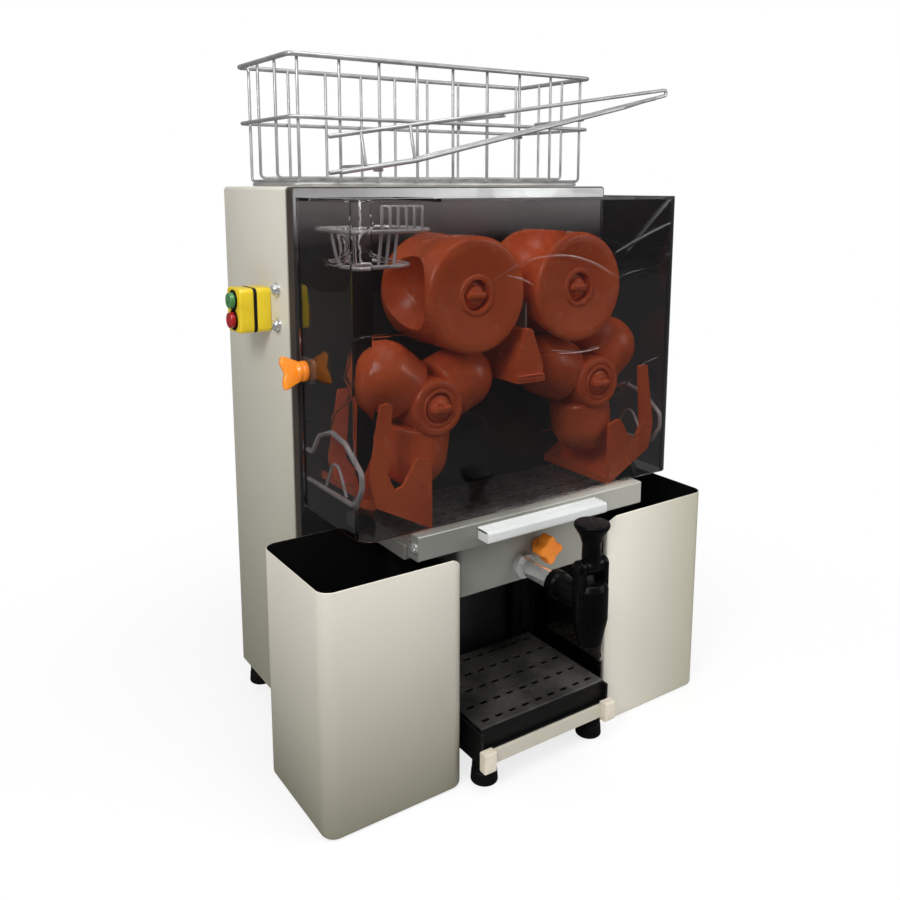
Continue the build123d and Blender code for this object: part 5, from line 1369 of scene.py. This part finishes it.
# %% Soft edges
softened = {"hood": 1.0, "juice_tank": 0.5, "filter_frame": 0.4, "front_rail": 0.6, "front_base": 0.8,
            "drip_tray": 0.4, "drip_grille": 0.4, "knife_holder": 1.0, "peel_ejector_left": 1.0,
            "peel_ejector_right": 1.0, "drawer_runners": 0.5, "hood_tabs": 0.5, "back_panel": 0.3,
            "front_plate": 0.3}
for name, width in softened.items():
    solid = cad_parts[name]
    solid.modifiers.new("weld", "WELD").merge_threshold = 0.01 * MM
    bevel = solid.modifiers.new("soft_edges", "BEVEL")
    bevel.width = width * MM
    bevel.segments = 2
    bevel.limit_method = "ANGLE"
    bevel.angle_limit = radians(40)
print("softened solids:", len(softened))

# %% [markdown]
# ## A white room that mirrors don't see
# The machine stands on white, but a white room would be mirrored in every pane and wire and hide what is
# behind them. Dark cards around the set would keep it off, as a photographer does, but they would show in
# other views. So the room is white only to the camera. Mirrors see a grey room that is brighter overhead,
# glass sees a dark one, and all else gets a soft fill, so that colours come out as they were written.

# %% World
fill, dark_room, horizon, overhead = 0.52, 0.05, 0.07, 0.55
rise_starts, rise_ends = 0.05, 0.8


def by_ray(tree, filling, mirrored, through, direct):
    """A value for light that fills in, replaced for rays from a mirror, through glass and from the camera."""
    rays = tree.nodes.new("ShaderNodeLightPath")
    value = filling
    for label, level in (("Is Glossy Ray", mirrored), ("Is Transmission Ray", through),
                         ("Is Camera Ray", direct)):
        choose = tree.nodes.new("ShaderNodeMix")
        feed(tree, value, choose.inputs["A"])
        feed(tree, level, choose.inputs["B"])
        tree.links.new(rays.outputs[label], choose.inputs["Factor"])
        value = choose.outputs["Result"]
    return value


world = bpy.data.worlds.new("white_room")
world.use_nodes = True
bpy.context.scene.world = world
tree = world.node_tree
background = tree.nodes["Background"]
background.inputs["Color"].default_value = (1.0, 1.0, 1.0, 1.0)
heading = tree.nodes.new("ShaderNodeSeparateXYZ")
tree.links.new(tree.nodes.new("ShaderNodeTexCoord").outputs["Generated"], heading.inputs["Vector"])
mirrored_room = remapped(tree, heading.outputs["Z"], rise_starts, rise_ends, horizon, overhead,
                         kind="LINEAR")
tree.links.new(by_ray(tree, fill, mirrored_room, dark_room, 1.0), background.inputs["Strength"])
print("mirrors see a room from", horizon, "to", overhead)

# %% [markdown]
# ## Floor
# The counter is a large pale plane. It has to be as white as the room and still keep the shadow that holds
# the machine down. A shadow catcher would need compositing, so the floor mixes a plain pale surface with a
# white glow: less near the machine, where the shadow shows through, and all of it further out.

# %% Floor
floor_half, pale_floor_tone, floor_rough = 4.0, (0.9, 0.9, 0.9, 1.0), 0.9
near_glow, glow_starts, glow_ends, mirrored_glow = 0.78, 0.25, 0.75, 0.9
floor_finish, tree, shader, place = new_material("pale_floor")
shader.inputs["Base Color"].default_value = pale_floor_tone
shader.inputs["Roughness"].default_value = floor_rough
glow = tree.nodes.new("ShaderNodeEmission")
blend = tree.nodes.new("ShaderNodeMixShader")
far = tree.nodes.new("ShaderNodeVectorMath")
far.operation = "LENGTH"
tree.links.new(place, far.inputs[0])
clearing = remapped(tree, far.outputs["Value"], glow_starts, glow_ends, near_glow, 1.0)
joined(tree, (by_ray(tree, 0.0, mirrored_glow, mirrored_glow, clearing), blend.inputs["Fac"]),
       (by_ray(tree, 0.0, horizon, dark_room, 1.0), glow.inputs["Strength"]),
       (shader.outputs["BSDF"], blend.inputs[1]), (glow.outputs["Emission"], blend.inputs[2]),
       (blend.outputs["Shader"], tree.nodes["Material Output"].inputs["Surface"]))
floor_mesh = bpy.data.meshes.new("floor")
floor_corners = [(-floor_half, -floor_half, 0), (floor_half, -floor_half, 0), (floor_half, floor_half, 0),
                 (-floor_half, floor_half, 0)]
floor_mesh.from_pydata(floor_corners, [], [(0, 1, 2, 3)])
floor_mesh.materials.append(floor_finish)
floor_object = bpy.data.objects.new("floor", floor_mesh)
bpy.context.scene.collection.objects.link(floor_object)
print("floor is", 2 * floor_half, "metres wide")

# %% [markdown]
# ## Lamps
# Three square lamps stand around the machine: a strong one at the left front, a weak one at the right so
# that this side isn't lost, and one overhead that picks out the tops of the drums. Point lamps would cast
# hard shadows. An area lamp works like a softbox: the larger it is, the softer the shadow's edge.


# %% Lamps
def softbox(name, place, aim, size, power):
    """A square area lamp that faces a point."""
    lamp = bpy.data.lights.new(name, "AREA")
    lamp.size = size
    lamp.energy = power
    box = bpy.data.objects.new(name, lamp)
    box.location = place
    box.rotation_euler = (Vector(aim) - Vector(place)).to_track_quat("-Z", "Y").to_euler()
    bpy.context.scene.collection.objects.link(box)
    return box


softbox("key_left", (-1.05, -0.6, 1.2), (-0.1, 0.0, 0.4), 0.5, 12.0)
softbox("side_right", (0.95, -1.0, 0.85), (0.05, 0.0, 0.4), 0.5, 5.0)
softbox("top", (0.0, -0.35, 1.5), (0.0, 0.0, 0.5), 0.6, 7.5)
print("lamps:", [item.name for item in bpy.data.lights])

# %% [markdown]
# ## Camera
# The photograph looks a little down from the left front. The camera stands where its lines of sight
# meet, and the lens is shifted because the picture was cropped below its optical middle. Tilting the camera
# further down instead would make the upright edges lean more than they do.

# %% Camera
camera = bpy.data.cameras.new("camera")
camera.lens = 36.0
camera.sensor_width = 36.0
camera.shift_y = -0.1222
viewer = bpy.data.objects.new("camera", camera)
viewer.location = (-0.5546, plate_face - 0.7957, 0.5885)
azimuth, elevation = radians(-33.895), radians(9.764)
level_part = np.cos(elevation)
behind = Vector((np.sin(azimuth) * level_part, -np.cos(azimuth) * level_part, np.sin(elevation)))
viewer.rotation_euler = (-behind).to_track_quat("-Z", "Y").to_euler()
bpy.context.scene.collection.objects.link(viewer)
bpy.context.scene.camera = viewer
bpy.context.scene.view_settings.view_transform = "Standard"
print("camera stands at", np.round(viewer.location, 3).tolist())
